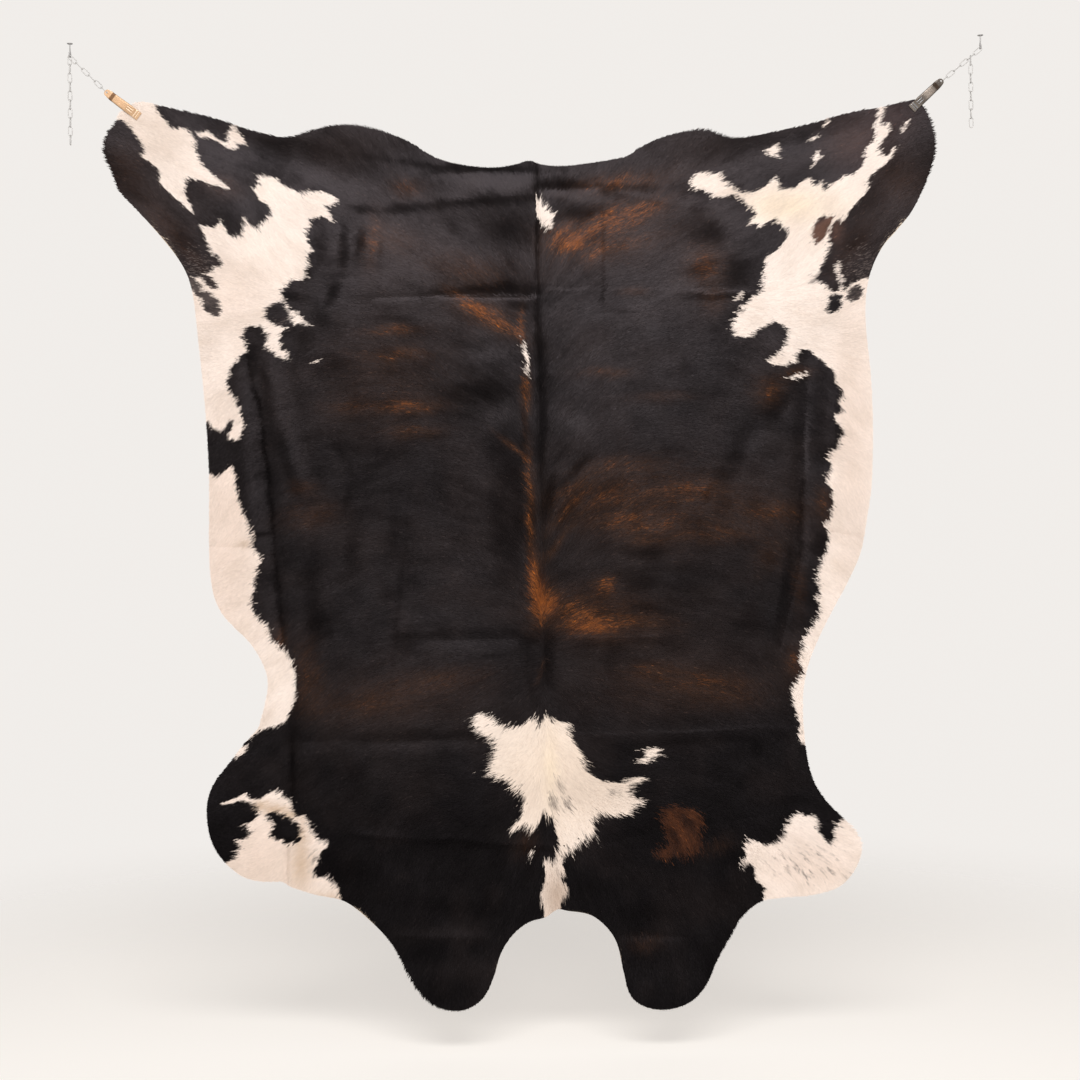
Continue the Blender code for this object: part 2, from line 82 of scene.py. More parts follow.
# Sizes shared with the solids.
HOOK_SPAN = 2208 * MM
FIT_GAP = 0.3 * MM
LINK_WIRE_RADIUS = 1.0 * MM
LINK_INNER_LENGTH = 22.0 * MM
LINK_INNER_WIDTH = 7.0 * MM
LINK_PLAY = 0.5 * MM
LINK_LENGTH = LINK_INNER_LENGTH + 2 * LINK_WIRE_RADIUS
LINK_HALF_WIDTH = LINK_INNER_WIDTH / 2 + LINK_WIRE_RADIUS
LINK_PITCH = LINK_LENGTH - 2 * LINK_WIRE_RADIUS - LINK_PLAY
RUN_LINKS = 6
HOOK_WIRE_RADIUS = 1.5 * MM
HOOK_DROP = 33.0 * MM
HOOK_BEND_RADIUS = 6.0 * MM
HOOK_SHANK = 14.0 * MM
HOOK_PLATE_THICKNESS = 1.6 * MM
HOOK_TIP_OUT = 0.72 * MM
HOOK_TIP_RISE = 4.0 * MM
CLIP_LENGTH = 102.0 * MM
CLIP_PLATE = 1.2 * MM
CLIP_TAIL_HALF_WIDTH = 8.5 * MM
CLIP_JAW_HALF_WIDTH = 10.5 * MM
CLIP_TAIL_OPENING = 8.0 * MM
CLIP_SPRING_PLACE = 44.0 * MM
CLIP_SPRING_LENGTH = 15.0 * MM
CLIP_HOLE_PLACE = 5.5 * MM
CLIP_HOLE_RADIUS = 2.6 * MM
CLIP_GRIP_PLACE = 90.0 * MM
HIDE_PLANE_Y = -(CLIP_TAIL_OPENING + CLIP_PLATE / 2)
GRIP_FLAT_RADIUS = 85 * MM
GRIP_FADE_RADIUS = 220 * MM
FOLD_END_FADE = 0.18

Hanging = namedtuple("Hanging", "side chain_slope_deg clip_slope_deg tail_links tail_on_run")
HANGINGS = {
    "left": Hanging(-1, 44.5, 37.2, 10, False),
    "right": Hanging(+1, 39.5, 42.6, 8, True),
}
TAIL_BESIDE = 2.6 * MM
TAIL_ALONG = 2.0 * MM

# The hide's outline as it hangs, clockwise from the left clip, in millimetres:
# across from the middle of the hooks, and drop below the ceiling.
OUTLINE_MM = {
    "left clip corner": ((-987, 191), (-981, 172), (-956, 153), (-928, 146), (-897, 153)),
    "left shank top": ((-837, 168), (-752, 188), (-668, 217), (-607, 233)),
    "left neck lobe": (
        (-564, 237), (-523, 226), (-472, 214), (-421, 213), (-358, 224),
        (-305, 241), (-269, 259), (-233, 282), (-192, 298)),
    "neck": ((-136, 309), (-76, 313), (-27, 306), (7, 297), (36, 306), (82, 311), (142, 306), (239, 291)),
    "right neck lobe": (
        (268, 273), (305, 255), (344, 242), (392, 233), (426, 232), (462, 241), (487, 248), (518, 249)),
    "right shank top": ((591, 235), (688, 214), (773, 190), (857, 176), (918, 162), (947, 158)),
    "right shank end": ((966, 182), (981, 221), (989, 270), (981, 318), (962, 371)),
    "right shank inside": ((933, 427), (896, 472), (864, 508), (839, 554), (824, 602)),
    "right flank": (
        (818, 660), (821, 726), (830, 811), (835, 907), (835, 1004),
        (831, 1089), (819, 1169), (802, 1251), (769, 1323)),
    "right waist": ((730, 1393), (698, 1455), (671, 1521), (658, 1588), (657, 1661), (664, 1733)),
    "right hind shank": (
        (678, 1797), (709, 1850), (750, 1894), (783, 1933), (792, 1969),
        (775, 2018), (738, 2058), (675, 2078)),
    "right thigh": ((603, 2084), (549, 2094), (503, 2131), (473, 2179)),
    "right butt lobe": (
        (441, 2237), (417, 2289), (379, 2329), (324, 2347), (269, 2341), (233, 2313), (216, 2252)),
    "tail notch": (
        (202, 2191), (176, 2150), (138, 2122), (84, 2112), (58, 2108), (31, 2126), (-13, 2139), (-52, 2170)),
    "left butt lobe": (
        (-79, 2213), (-96, 2266), (-121, 2314), (-155, 2338), (-191, 2344), (-236, 2332), (-275, 2298)),
    "left thigh": ((-306, 2247), (-340, 2189), (-390, 2135), (-455, 2084), (-527, 2066)),
    "left hind shank": (
        (-588, 2046), (-607, 2034), (-655, 2033), (-701, 2019), (-747, 1977),
        (-775, 1921), (-782, 1848), (-766, 1795), (-731, 1749)),
    "left waist": ((-690, 1696), (-661, 1664), (-647, 1620), (-636, 1559), (-648, 1508), (-679, 1457)),
    "left flank": (
        (-715, 1421), (-749, 1382), (-770, 1328), (-778, 1243), (-777, 1134),
        (-777, 1038), (-781, 941), (-787, 844), (-796, 747), (-803, 670)),
    "left shank inside": ((-810, 611), (-823, 565), (-847, 522), (-881, 478), (-917, 436), (-957, 392)),
    "left shank end": ((-988, 356), (-1003, 312), (-1019, 268), (-1013, 228)),
}

# Folds and creases as lines on the hide, in millimetres (across, drop). Depth is towards the
# hair side's viewer where positive, and half_width is how far the fold reaches to each side.
Fold = namedtuple("Fold", "name start end half_width depth")
FOLDS = (
    Fold("spine, neck part", (14, 300), (22, 900), 26, -3.0),
    Fold("spine, back part", (22, 840), (40, 1700), 26, -3.0),
    Fold("left flank fold", (-652, 760), (-600, 1480), 22, -5.0),
    Fold("left flank roll", (-700, 800), (-670, 1250), 26, 4.0),
    Fold("left hind fold", (-585, 1560), (-582, 1900), 20, -5.0),
    Fold("right flank fold", (676, 760), (640, 1330), 22, -5.0),
    Fold("right flank roll", (745, 820), (735, 1200), 26, 4.0),
    Fold("right hind fold", (620, 1500), (640, 1980), 30, -3.0),
    Fold("left armpit roll", (-640, 760), (-560, 1060), 26, 3.5),
    Fold("left armpit dip", (-590, 760), (-530, 1060), 26, -3.0),
    Fold("right armpit dip", (660, 800), (500, 1010), 28, -3.0),
    Fold("left clip pull", (-900, 190), (-420, 330), 40, -6.0),
    Fold("right clip pull", (900, 200), (450, 300), 40, -6.0),
    Fold("left shoulder pull", (-880, 260), (-640, 470), 50, 5.0),
    Fold("right shoulder pull", (880, 260), (690, 470), 50, 5.0),
)

# Broad swells of the hanging hide, in millimetres: centre, radii across and down, depth.
Swell = namedtuple("Swell", "name across drop reach_across reach_drop depth")
SWELLS = (
    Swell("left shoulder", -420, 640, 260, 330, 18),
    Swell("right shoulder", 380, 700, 260, 340, 15),
    Swell("left ribs", -330, 1230, 240, 360, -14),
    Swell("right ribs", 330, 1230, 250, 330, 14),
    Swell("left rump", -260, 1800, 260, 260, 16),
    Swell("right rump", 330, 1830, 260, 260, 12),
    Swell("left fore shank curl", -1020, 300, 110, 170, -20),
    Swell("right fore shank curl", 1000, 300, 110, 170, -18),
    Swell("left flank edge", -830, 1100, 110, 420, -20),
    Swell("right flank edge", 880, 1050, 120, 420, -20),
    Swell("left hind shank curl", -800, 1900, 130, 190, 24),
    Swell("right hind shank curl", 830, 1960, 140, 150, 20),
    Swell("left butt lobe curl", -190, 2400, 190, 190, 28),
    Swell("right butt lobe curl", 330, 2400, 190, 190, 22),
    Swell("left neck lobe curl", -420, 190, 170, 90, 18),
    Swell("right neck lobe curl", 420, 205, 150, 90, 15),
)

# Finer creases than the solid has, as lines on the hide in millimetres (across, drop). They run
# rightwards or downwards. Above is how far each reaches above or to the right of its line, and
# below is how far it reaches to the other side. Depth is towards the viewer where positive.
Crease = namedtuple("Crease", "name start end above below depth")
CREASES = (
    Crease("spine one", (26, 309), (22, 706), 6, 6, -2.4),
    Crease("spine two", (22, 706), (27, 1263), 6, 6, -2.0),
    Crease("spine three", (27, 1263), (35, 1650), 6, 6, -1.6),
    Crease("neck edge dip, left", (-233, 329), (21, 324), 14, 20, -2.0),
    Crease("neck bend, left far", (-440, 419), (-209, 397), 36, 16, 0.6),
    Crease("neck bend, left near", (-209, 397), (21, 379), 28, 13, 1.3),
    Crease("neck nick, right", (23, 367), (178, 366), 22, 12, -2.6),
    Crease("neck bend, right", (178, 372), (468, 425), 16, 16, 0.9),
    Crease("first crease, far left", (-364, 625), (-207, 622), 16, 6, -1.2),
    Crease("first crease, left", (-207, 622), (23, 621), 44, 5, -5.5),
    Crease("first crease, right", (31, 614), (345, 618), 6, 10, 0.25),
    Crease("first crease, far right", (345, 617), (540, 620), 6, 14, 0.5),
    Crease("short crease, right", (161, 671), (272, 672), 6, 5, -0.4),
    Crease("fine line, right", (177, 437), (178, 686), 4, 4, -0.25),
    Crease("second crease, left", (-309, 1456), (-1, 1454), 22, 16, -1.7),
    Crease("second crease, right", (64, 1454), (304, 1449), 8, 20, 0.9),
    Crease("third crease, left", (-560, 1696), (-105, 1698), 20, 22, -1.6),
    Crease("third crease, right", (105, 1687), (626, 1673), 8, 20, 0.9),
    Crease("fourth crease, left", (-436, 1917), (57, 1953), 10, 12, 1.5),
    Crease("fourth crease, right", (151, 1947), (580, 1876), 7, 7, -0.4),
    Crease("left lobe crease", (-337, 2165), (-112, 2169), 16, 12, 1.2),
    Crease("right lobe crease", (205, 2172), (355, 2171), 14, 8, -1.0),
    Crease("right flank crease", (722, 1199), (830, 1216), 9, 6, -4.5),
    Crease("left flank crease", (-795, 1222), (-677, 1222), 10, 7, -3.4),
    Crease("left long line, top", (-680, 748), (-657, 865), 7, 7, -2.0),
    Crease("left long line, one", (-657, 865), (-641, 957), 7, 8, -2.8),
    Crease("left long line, two", (-641, 957), (-623, 1179), 7, 8, -3.2),
    Crease("left long line, three", (-623, 1179), (-606, 1354), 7, 8, -2.6),
    Crease("left long line, four", (-606, 1354), (-597, 1475), 7, 8, -2.2),
    Crease("right long line, one", (672, 833), (663, 1075), 6, 10, -1.8),
    Crease("right long line, two", (663, 1075), (654, 1269), 6, 8, -2.6),
    Crease("right long line, three", (654, 1269), (601, 1486), 7, 8, -1.8),
    Crease("left hind line", (-582, 1690), (-581, 1862), 6, 6, -3.0),
    Crease("left hind fold", (-589, 1935), (-596, 2095), 5, 9, -5.0),
)
CREASE_WANDER = Noise(4.0, 90.0, 5)
CREASE_END_FADE = 0.08
CREASE_SHARPNESS = 1.3
CREASE_MARGIN = 0.05
CREASE_REACH = 1.2
HIDE_WAVES = (Noise(0.8, 120, 6), Noise(0.35, 38, 7))
SLOPE_STEP = 1.5

# How the leather is divided and laid. Lengths are in millimetres, and the rim's clearance is a
# share of the step.
RIM_STEP = 6.0
FILL_INSIDE = 1
FILL_TOLERANCE = 1e-4
LEAST_RUN = 1e-3
LATTICE_STEP = 11.5
CREASE_LATTICE_STEP = 4.6
RIM_CLEARANCE = 0.55
LEATHER_FRONT = 0.6
LEATHER_BACK = 2.0
# The hair side's leather is painted a little darker than the coat: painted shade under the hair.
SKIN_PAINTED_SHADE = 0.95
# Where the hair stops short of the edge, the leather shows bare over its last millimetres.
BARE_EDGE_FADE = 1.5
BARE_EDGE_REACH = 1.6
BARE_EDGE_STEP = 2.0

# Where the leather's parts lie on its UV map: both sides next to each other, then the cut edge.
UV_MARGIN = 0.01
UV_SIDE_WIDTH = 0.47
UV_HEIGHT = 0.98
UV_BACK_SHIFT = 0.49
UV_EDGE_COLUMNS = (0.985, 0.995)
UV_EDGE_FILL = 0.9

# The coat's blades. Lengths are in millimetres.
BLADE_STEP = 3.08
BLADE_HALF_WIDTH = 1.17
BLADE_WIDEST = 0.42
BLADE_ROOT_DEPTH = 0.3
BLADE_LIFT = (0.45, 0.85)
BLADE_TIP_LIFT = (0.45, 1.15)
BLADE_LENGTH_SPREAD = 0.28
BLADE_TURN_SPREAD = 0.11
BLADE_ROLL = 0.10
BLADE_PITCH = math.radians(2.0)
BLADE_PITCH_SPREAD = math.radians(2.2)
BLADE_TILT_SPREAD = math.radians(2.0)
CLUMP_SIZE = 10.0
CLUMP_PULL = 0.16
CLUMP_SEED = 71
TUFT_SIZE = 3.6
TUFTS = Streaks(1.0, TUFT_SIZE, 1.2 * TUFT_SIZE, 72)
TUFT_STRAY = 0.5
GREY_HAIRS = 0.012
GREY_SHADE = 2.4
COLOUR_REACH = 0.45
COLOUR_SPAN = 0.22
# Each blade's root is painted darker as painted shade, and its tip lighter as painted light.
ROOT_PAINTED_SHADE = 0.93
TIP_PAINTED_LIGHT = 1.04
WHITE_SHADE_SPREAD = 0.03
DARK_SHADE_SPREAD = 0.10
SHADE_LIMITS = (0.6, 2.8)
ROOT_CLEARANCE = 0.8
LEAST_SHARE = 0.12
LEAST_LIFT = 0.3
BLADE_WIDTH_SPREAD = (0.75, 1.25)
FULL_WIDTH_LENGTH = 12.0
LEAST_WIDTH = 0.5
# A blade's faces, and where its root, sides and tip lie in its own cell of the UV map.
BLADE_FACES = ((0, 1, 2), (1, 3, 2))
BLADE_UV = ((0.5, 0.08), (0.12, 0.46), (0.88, 0.46), (0.5, 0.92))
COAT_BANDS = {
    "coat_neck": (0, 540),
    "coat_shoulders": (540, 940),
    "coat_back": (940, 1336),
    "coat_loin": (1336, 1783),
    "coat_rump": (1783, 2400),
}

# Where the lie of the hair is known: how far out from the spine and down from the ceiling, the
# direction there (outwards, down), and the hair's length, all in millimetres.
Lie = namedtuple("Lie", "out drop outwards down length")
LIES = (
    Lie(0, 320, 0.3, -1.0, 15), Lie(0, 550, 0.3, -1.0, 16), Lie(0, 730, 0.5, -0.9, 16),
    Lie(0, 900, 0.25, -1.0, 16), Lie(0, 1200, 0.25, -1.0, 17), Lie(0, 1380, 0.5, -0.8, 18),
    Lie(0, 1480, 1.0, 0.0, 18), Lie(0, 1600, 0.6, 0.8, 20), Lie(0, 1800, 0.4, 1.0, 24),
    Lie(0, 2080, 0.0, 1.0, 24), Lie(60, 450, 0.8, -0.6, 16), Lie(60, 660, 0.85, -0.55, 16),
    Lie(60, 850, 0.8, -0.5, 16), Lie(60, 1050, 0.75, -0.65, 16), Lie(60, 1220, 0.75, -0.65, 17),
    Lie(60, 1400, 0.95, -0.3, 18), Lie(160, 450, 0.9, -0.42, 16), Lie(160, 650, 0.92, -0.35, 16),
    Lie(160, 1000, 0.97, -0.25, 16), Lie(160, 1200, 0.96, -0.28, 17), Lie(160, 1400, 1.0, 0.0, 18),
    Lie(160, 1580, 0.9, 0.4, 19), Lie(250, 330, 0.5, -0.8, 15), Lie(420, 270, 0.5, -0.8, 15),
    Lie(420, 400, 0.9, -0.3, 15), Lie(300, 650, 1.0, -0.1, 15), Lie(480, 620, 0.98, 0.0, 15),
    Lie(550, 790, 0.97, 0.22, 15), Lie(600, 300, 0.85, -0.25, 15), Lie(620, 500, 0.65, -0.75, 13),
    Lie(580, 400, 0.7, -0.6, 13), Lie(800, 230, 0.85, -0.45, 14), Lie(850, 400, 0.75, -0.65, 13),
    Lie(1000, 260, 0.95, -0.25, 15), Lie(880, 500, 0.8, -0.45, 13), Lie(720, 640, 0.8, -0.3, 12),
    Lie(650, 720, 0.9, 0.1, 13), Lie(780, 900, 0.55, 0.83, 12), Lie(780, 1150, 0.5, 0.86, 12),
    Lie(690, 900, 0.9, 0.4, 14), Lie(690, 1200, 0.85, 0.5, 14), Lie(320, 1000, 1.0, 0.05, 16),
    Lie(480, 1000, 0.98, 0.15, 15), Lie(320, 1300, 1.0, 0.05, 17), Lie(480, 1350, 0.95, 0.25, 16),
    Lie(620, 1500, 0.7, 0.7, 14), Lie(300, 1560, 0.95, 0.25, 18), Lie(130, 1770, 0.93, 0.35, 24),
    Lie(240, 1790, 0.98, 0.05, 22), Lie(90, 1900, 0.7, 0.7, 24), Lie(60, 2000, 0.35, 0.93, 22),
    Lie(420, 1780, 0.92, 0.35, 18), Lie(600, 1750, 0.75, 0.65, 15), Lie(700, 1850, 0.92, 0.3, 15),
    Lie(800, 1930, 0.97, 0.1, 15), Lie(620, 2020, 0.6, 0.8, 14), Lie(330, 2000, 0.3, 0.95, 17),
    Lie(250, 2230, 0.1, 1.0, 16), Lie(400, 2200, 0.5, 0.86, 16),
)
PARTING_WIDE = 26.0
PARTING_PINCH = 21.0
PARTING_DROP = 1480.0
PARTING_REACH = 150.0
LIE_REACH = 75.0
LIE_FALLOFF = -2.0
LIE_LEAST = 1e-3
LIE_TURNS = (Noise(0.22, 110, 17), Noise(0.10, 30, 18))
SPINE_TOP = (21.0, 300.0)
SPINE_LEAN = 0.0085

# Where the coat shines more (to 1) or less (to -1) because its hair lies another way, and where creases and
# folds shade it. The values tilt the coat's normals, and they are also painted into the black coat's colour
# as painted sheen and painted shade. Places in millimetres (across, drop), reach along and across each
# patch, its tilt above level, strength.
Sheen = namedtuple("Sheen", "across drop reach_along reach_wide tilt_deg strength")
SHEENS = {
    "left shoulder": (
        (-440, 503, 53, 13, 88, -0.95), (-399, 492, 36, 14, 80, -0.9), (-351, 504, 34, 6, 84, -0.55),
        (-468, 619, 29, 14, 62, -1.0), (-558, 623, 36, 15, -8, -0.85), (-538, 568, 19, 24, 0, -0.6),
        (-496, 484, 17, 53, 0, -0.45), (-498, 672, 22, 39, 20, -0.45), (-313, 577, 73, 24, 14, 0.3)),
    "neck edge": (
        (-112, 316, 126, 10, -3, -0.9), (-300, 300, 120, 9, -8, -0.35)),
    "neck brush": (
        (-62, 350, 78, 16, 0, 1.0), (-240, 356, 90, 24, 4, -0.25)),
    "neck lobe": (
        (-438, 291, 145, 29, -14, -0.12),),
    "under the neck bend": (
        (-76, 393, 100, 15, 3, -0.70), (-240, 408, 110, 12, 6, -0.50), (-306, 412, 34, 16, -8, -0.4),
        (-394, 410, 34, 11, -8, -0.8), (-62, 440, 84, 44, 0, -0.45)),
    "withers left": (
        (-22, 474, 50, 36, 0, -0.60), (-108, 478, 40, 26, -20, -0.30), (-3, 546, 24, 31, 70, 0.55),
        (-270, 500, 150, 70, -10, 0.30),
        (-190, 446, 40, 14, -40, -0.3)),
    "over the first crease": (
        (-54, 606, 82, 17, 1, -1.0), (-158, 612, 82, 10, 3, -0.7)),
    "under the first crease": (
        (-37, 627, 63, 4, 0, 0.9), (-18, 648, 29, 12, 0, -0.45)),
    "neck nick": (
        (81, 356, 63, 13, 1, -1.0), (235, 366, 100, 10, -1, -0.55), (72, 332, 44, 4, 4, 0.6),
        (129, 390, 87, 10, -6, 0.3)),
    "withers right": (
        (139, 424, 68, 19, 6, -0.7),),
    "right shoulder": (
        (430, 552, 34, 30, 84, -0.45), (431, 473, 31, 48, 84, -0.8),
        (420, 381, 24, 15, -30, -0.55), (399, 569, 24, 39, 80, -0.6),
        (508, 575, 39, 36, 0, -0.75), (506, 459, 39, 53, 70, 0.35)),
    "right crease": (
        (432, 619, 87, 4, 0, 0.8), (94, 610, 63, 4, 0, 0.45), (454, 633, 92, 7, 0, -0.6)),
    "right side": (
        (250, 690, 170, 110, 0, 0.30), (330, 560, 90, 60, 0, 0.25),
        (238, 670, 36, 7, 0, -0.45), (178, 635, 10, 19, 0, -0.4), (108, 659, 58, 31, 10, 0.35),
        (489, 1040, 46, 24, 48, -0.4), (430, 1102, 34, 10, 62, -0.55)),
    "right edge": (
        (634, 765, 39, 19, 20, -0.45), (653, 1366, 34, 39, 0, -0.45)),
    "left long line": (
        (-668, 777, 17, 39, 0, -0.75), (-657, 865, 39, 7, -74, -0.95), (-640, 981, 77, 6, -83, -0.95),
        (-626, 1124, 82, 7, -84, -0.95), (-608, 1354, 145, 7, -84, -0.85),
        (-648, 1196, 29, 6, 4, -0.8)),
    "left side": (
        (-634, 816, 27, 6, -66, -0.6), (-585, 1003, 82, 17, -76, -0.65),
        (-602, 930, 121, 19, -68, 0.35), (-675, 990, 145, 17, -84, 0.25), (-532, 718, 27, 17, 0, -0.5),
        (-465, 774, 31, 19, -40, -0.4), (-452, 1004, 34, 12, -60, -0.45),
        (-441, 1116, 31, 10, 80, -0.4), (-328, 1189, 41, 15, 86, -0.45),
        (-430, 1234, 31, 15, 86, -0.4)),
    "left of spine": (
        (-112, 855, 80, 28, 2, -0.8), (-69, 911, 39, 17, 0, 0.4), (-92, 763, 68, 19, 4, 0.6),
        (-56, 1105, 155, 41, 88, -0.55), (-25, 1166, 145, 17, 88, -0.35),
        (-158, 1128, 39, 58, 0, -0.3), (-65, 1262, 73, 29, 80, -0.4)),
    "right of spine": (
        (26, 716, 82, 9, 90, -0.7), (32, 930, 169, 12, 90, -0.85), (48, 1106, 63, 12, 80, -0.75),
        (-10, 930, 100, 8, 90, -0.45), (4, 1180, 110, 10, 89, -0.55), (20, 1345, 60, 14, 87, -0.6),
        (117, 937, 53, 63, 40, 0.45), (222, 853, 145, 97, 10, 0.16), (123, 1036, 39, 10, 44, -0.45),
        (96, 1138, 39, 12, 50, -0.55)),
    "spine": (
        (25, 469, 165, 5, 90, -0.85), (182, 560, 150, 4, 89, -0.4)),
    "right mid": (
        (267, 1246, 53, 22, -6, -0.5),),
    "right armpit": (
        (611, 886, 63, 22, 48, -0.85), (651, 828, 24, 22, 0, -0.45)),
    "right long line": (
        (671, 998, 77, 5, 89, 0.85), (655, 1177, 116, 8, 86, -0.75)),
    "right strip": (
        (705, 930, 121, 24, 88, -0.4), (702, 1233, 29, 29, 0, -0.8)),
    "right flank line": (
        (614, 1341, 106, 11, 80, -0.6),),
    "right flank": (
        (576, 1268, 24, 19, 0, -0.35),),
    "left ribs": (
        (-523, 1355, 121, 22, 88, -0.5), (-509, 1415, 34, 34, 0, -0.45),
        (-545, 1306, 29, 24, 0, -0.35), (-315, 1357, 194, 7, 84, -0.3), (-286, 1313, 22, 24, 0, -0.35)),
    "left loin": (
        (-150, 1400, 130, 60, 0, 0.35),
        (-302, 1454, 34, 29, 0, -0.45), (-145, 1273, 97, 48, 6, 0.3), (-218, 1309, 73, 24, 10, 0.15),
        (-447, 1767, 22, 39, 80, -0.45)),
    "over the second crease": (
        (-166, 1438, 121, 12, 0, -0.45),),
    "under the second crease": (
        (-147, 1474, 106, 15, 0, 0.35),),
    "spine foot": (
        (42, 1493, 58, 13, 88, -0.95), (-1, 1456, 19, 34, -50, -0.55), (5, 1577, 15, 39, 10, -0.45)),
    "under the loin": (
        (265, 1461, 106, 11, 4, -0.4),),
    "loin": (
        (259, 1313, 29, 39, 80, -0.55), (266, 1374, 39, 19, -10, -0.45)),
    "right loin": (
        (192, 1506, 19, 63, 0, -0.3), (83, 1518, 19, 63, 70, 0.25)),
    "right side low": (
        (527, 1413, 29, 34, 0, -0.35), (628, 1462, 29, 19, 0, 0.3)),
    "over the third crease": (
        (-221, 1682, 131, 12, 1, -0.5),),
    "under the third crease": (
        (-318, 1712, 218, 12, 1, 0.3), (384, 1704, 242, 12, 3, -0.4)),
    "third crease": (
        (287, 1683, 174, 5, 3, 0.45),),
    "right rump": (
        (543, 1723, 15, 22, 0, -0.6), (538, 1781, 19, 19, 0, -0.45), (624, 1849, 36, 12, 0, -0.7),
        (532, 1856, 24, 12, 0, -0.45), (236, 1913, 73, 22, 0, -0.35)),
    "left hind": (
        (-580, 1756, 87, 7, 89, -0.8), (-570, 1676, 39, 19, -10, -0.6), (-716, 1784, 44, 34, 30, -0.4)),
    "left rump": (
        (-343, 1768, 53, 34, -30, 0.25), (-150, 1818, 97, 34, 0, 0.2)),
    "over the fourth crease": (
        (-364, 1910, 63, 7, -4, 0.3),),
    "under the fourth crease": (
        (-127, 1942, 203, 12, -4, -0.6),),
    "left thigh": (
        (-459, 2004, 63, 39, -20, -0.75), (-321, 2005, 63, 29, 14, 0.3), (-273, 2035, 63, 19, 86, 0.3),
        (-111, 2072, 29, 17, 86, -0.55), (-201, 2096, 121, 19, -8, -0.35)),
    "left lobe": (
        (-202, 2159, 97, 10, 1, 0.4), (-226, 2205, 102, 29, 0, -0.6), (-203, 2290, 90, 50, 0, -0.6)),
    "right thigh": (
        (278, 2120, 82, 29, 0, -0.6), (126, 2050, 39, 19, 0, -0.3), (139, 1966, 48, 24, 0, 0.3),
        (465, 2078, 63, 24, 30, -0.3)),
    "right hind": (
        (490, 1981, 34, 29, 0, -0.55),),
    "right lobe": (
        (282, 2178, 73, 10, -2, 0.4), (416, 2157, 34, 24, 30, 0.35), (432, 2235, 19, 34, 0, -0.45)),
    "left arm": (
        (-911, 347, 97, 29, -56, 0.25), (-851, 444, 63, 22, -56, -0.35)),
    "left band": (
        (-620, 313, 73, 24, -20, -0.40), (-560, 255, 70, 22, -14, -0.3)),
    "right band": (
        (711, 277, 97, 29, 12, 0.10), (529, 312, 73, 29, 10, -0.2), (640, 278, 60, 40, 0, -0.2)),
    "right arm": (
        (916, 376, 97, 24, 60, 0.25), (782, 508, 58, 29, 50, -0.35)),
}
SHEEN_RAGGED = Streaks(3.5, 6, 7, 61)
SHEEN_WANDER = (Noise(3, 22, 62), Noise(3, 22, 63))
SHEEN_CLOUDS = Noise(0.22, 42, 64)
SHEEN_STREAKS = Streaks(0.20, 13, 14, 65)
SHEEN_SHARPNESS = 1.3
SHEEN_LIMITS = (-1.7, 1.0)
SHEEN_TILT = math.radians(12.0)
# How strongly the sheen is painted into the black coat's colour, as painted sheen and painted shade.
SHEEN_PAINTED_SHADE = 0.32
DULL_GAIN = 1.45
GLEAM_GAIN = 0.7
DULL_FADE = 0.4

# A clip covers the coat from this place along it, and this far past its sides and end.
JAW_COVER_START = 60.0
JAW_MARGIN = 1.2

# How far the coat stands out past the cut edge: by itself, and around some places.
RAGGED_EDGE = (0.25, 1.3)
EDGE_OVERHANG = 2.2
Fringe = namedtuple("Fringe", "name across drop reach overhang")
FRINGES = (
    Fringe("left shank end", -1010, 250, 90, 10.0),
    Fringe("right shank end", 980, 240, 90, 9.0),
    Fringe("left band", -800, 170, 80, 9.0),
    Fringe("left band, inner", -690, 200, 60, 10.0),
    Fringe("right band", 800, 178, 70, 6.0),
    Fringe("right band, inner", 690, 205, 60, 5.0),
    Fringe("left neck lobe, outer side", -560, 232, 60, 8.0),
    Fringe("left neck lobe, inner side", -400, 215, 60, 6.0),
    Fringe("right neck lobe, outer side", 455, 236, 60, 9.0),
    Fringe("left butt lobe", -300, 2300, 80, 9.0),
    Fringe("right thigh", 480, 2150, 60, 6.0),
    Fringe("right hind shank", 780, 1930, 40, 9.0),
    Fringe("left shank inside", -880, 480, 90, -1.6),
    Fringe("right shank inside", 890, 480, 90, -1.8),
    Fringe("tail notch", 60, 2110, 60, 1.0),
    Fringe("notch, left side", -115, 2230, 60, -1.2),
    Fringe("notch, left shoulder", -61, 2097, 60, -1.2),
    Fringe("notch, right shoulder", 133, 2087, 60, -1.0),
    Fringe("notch, right side", 190, 2220, 60, -1.0),
    Fringe("left thigh", -407, 2118, 70, -1.2),
    Fringe("right thigh, high", 489, 2126, 50, 0.5),
)
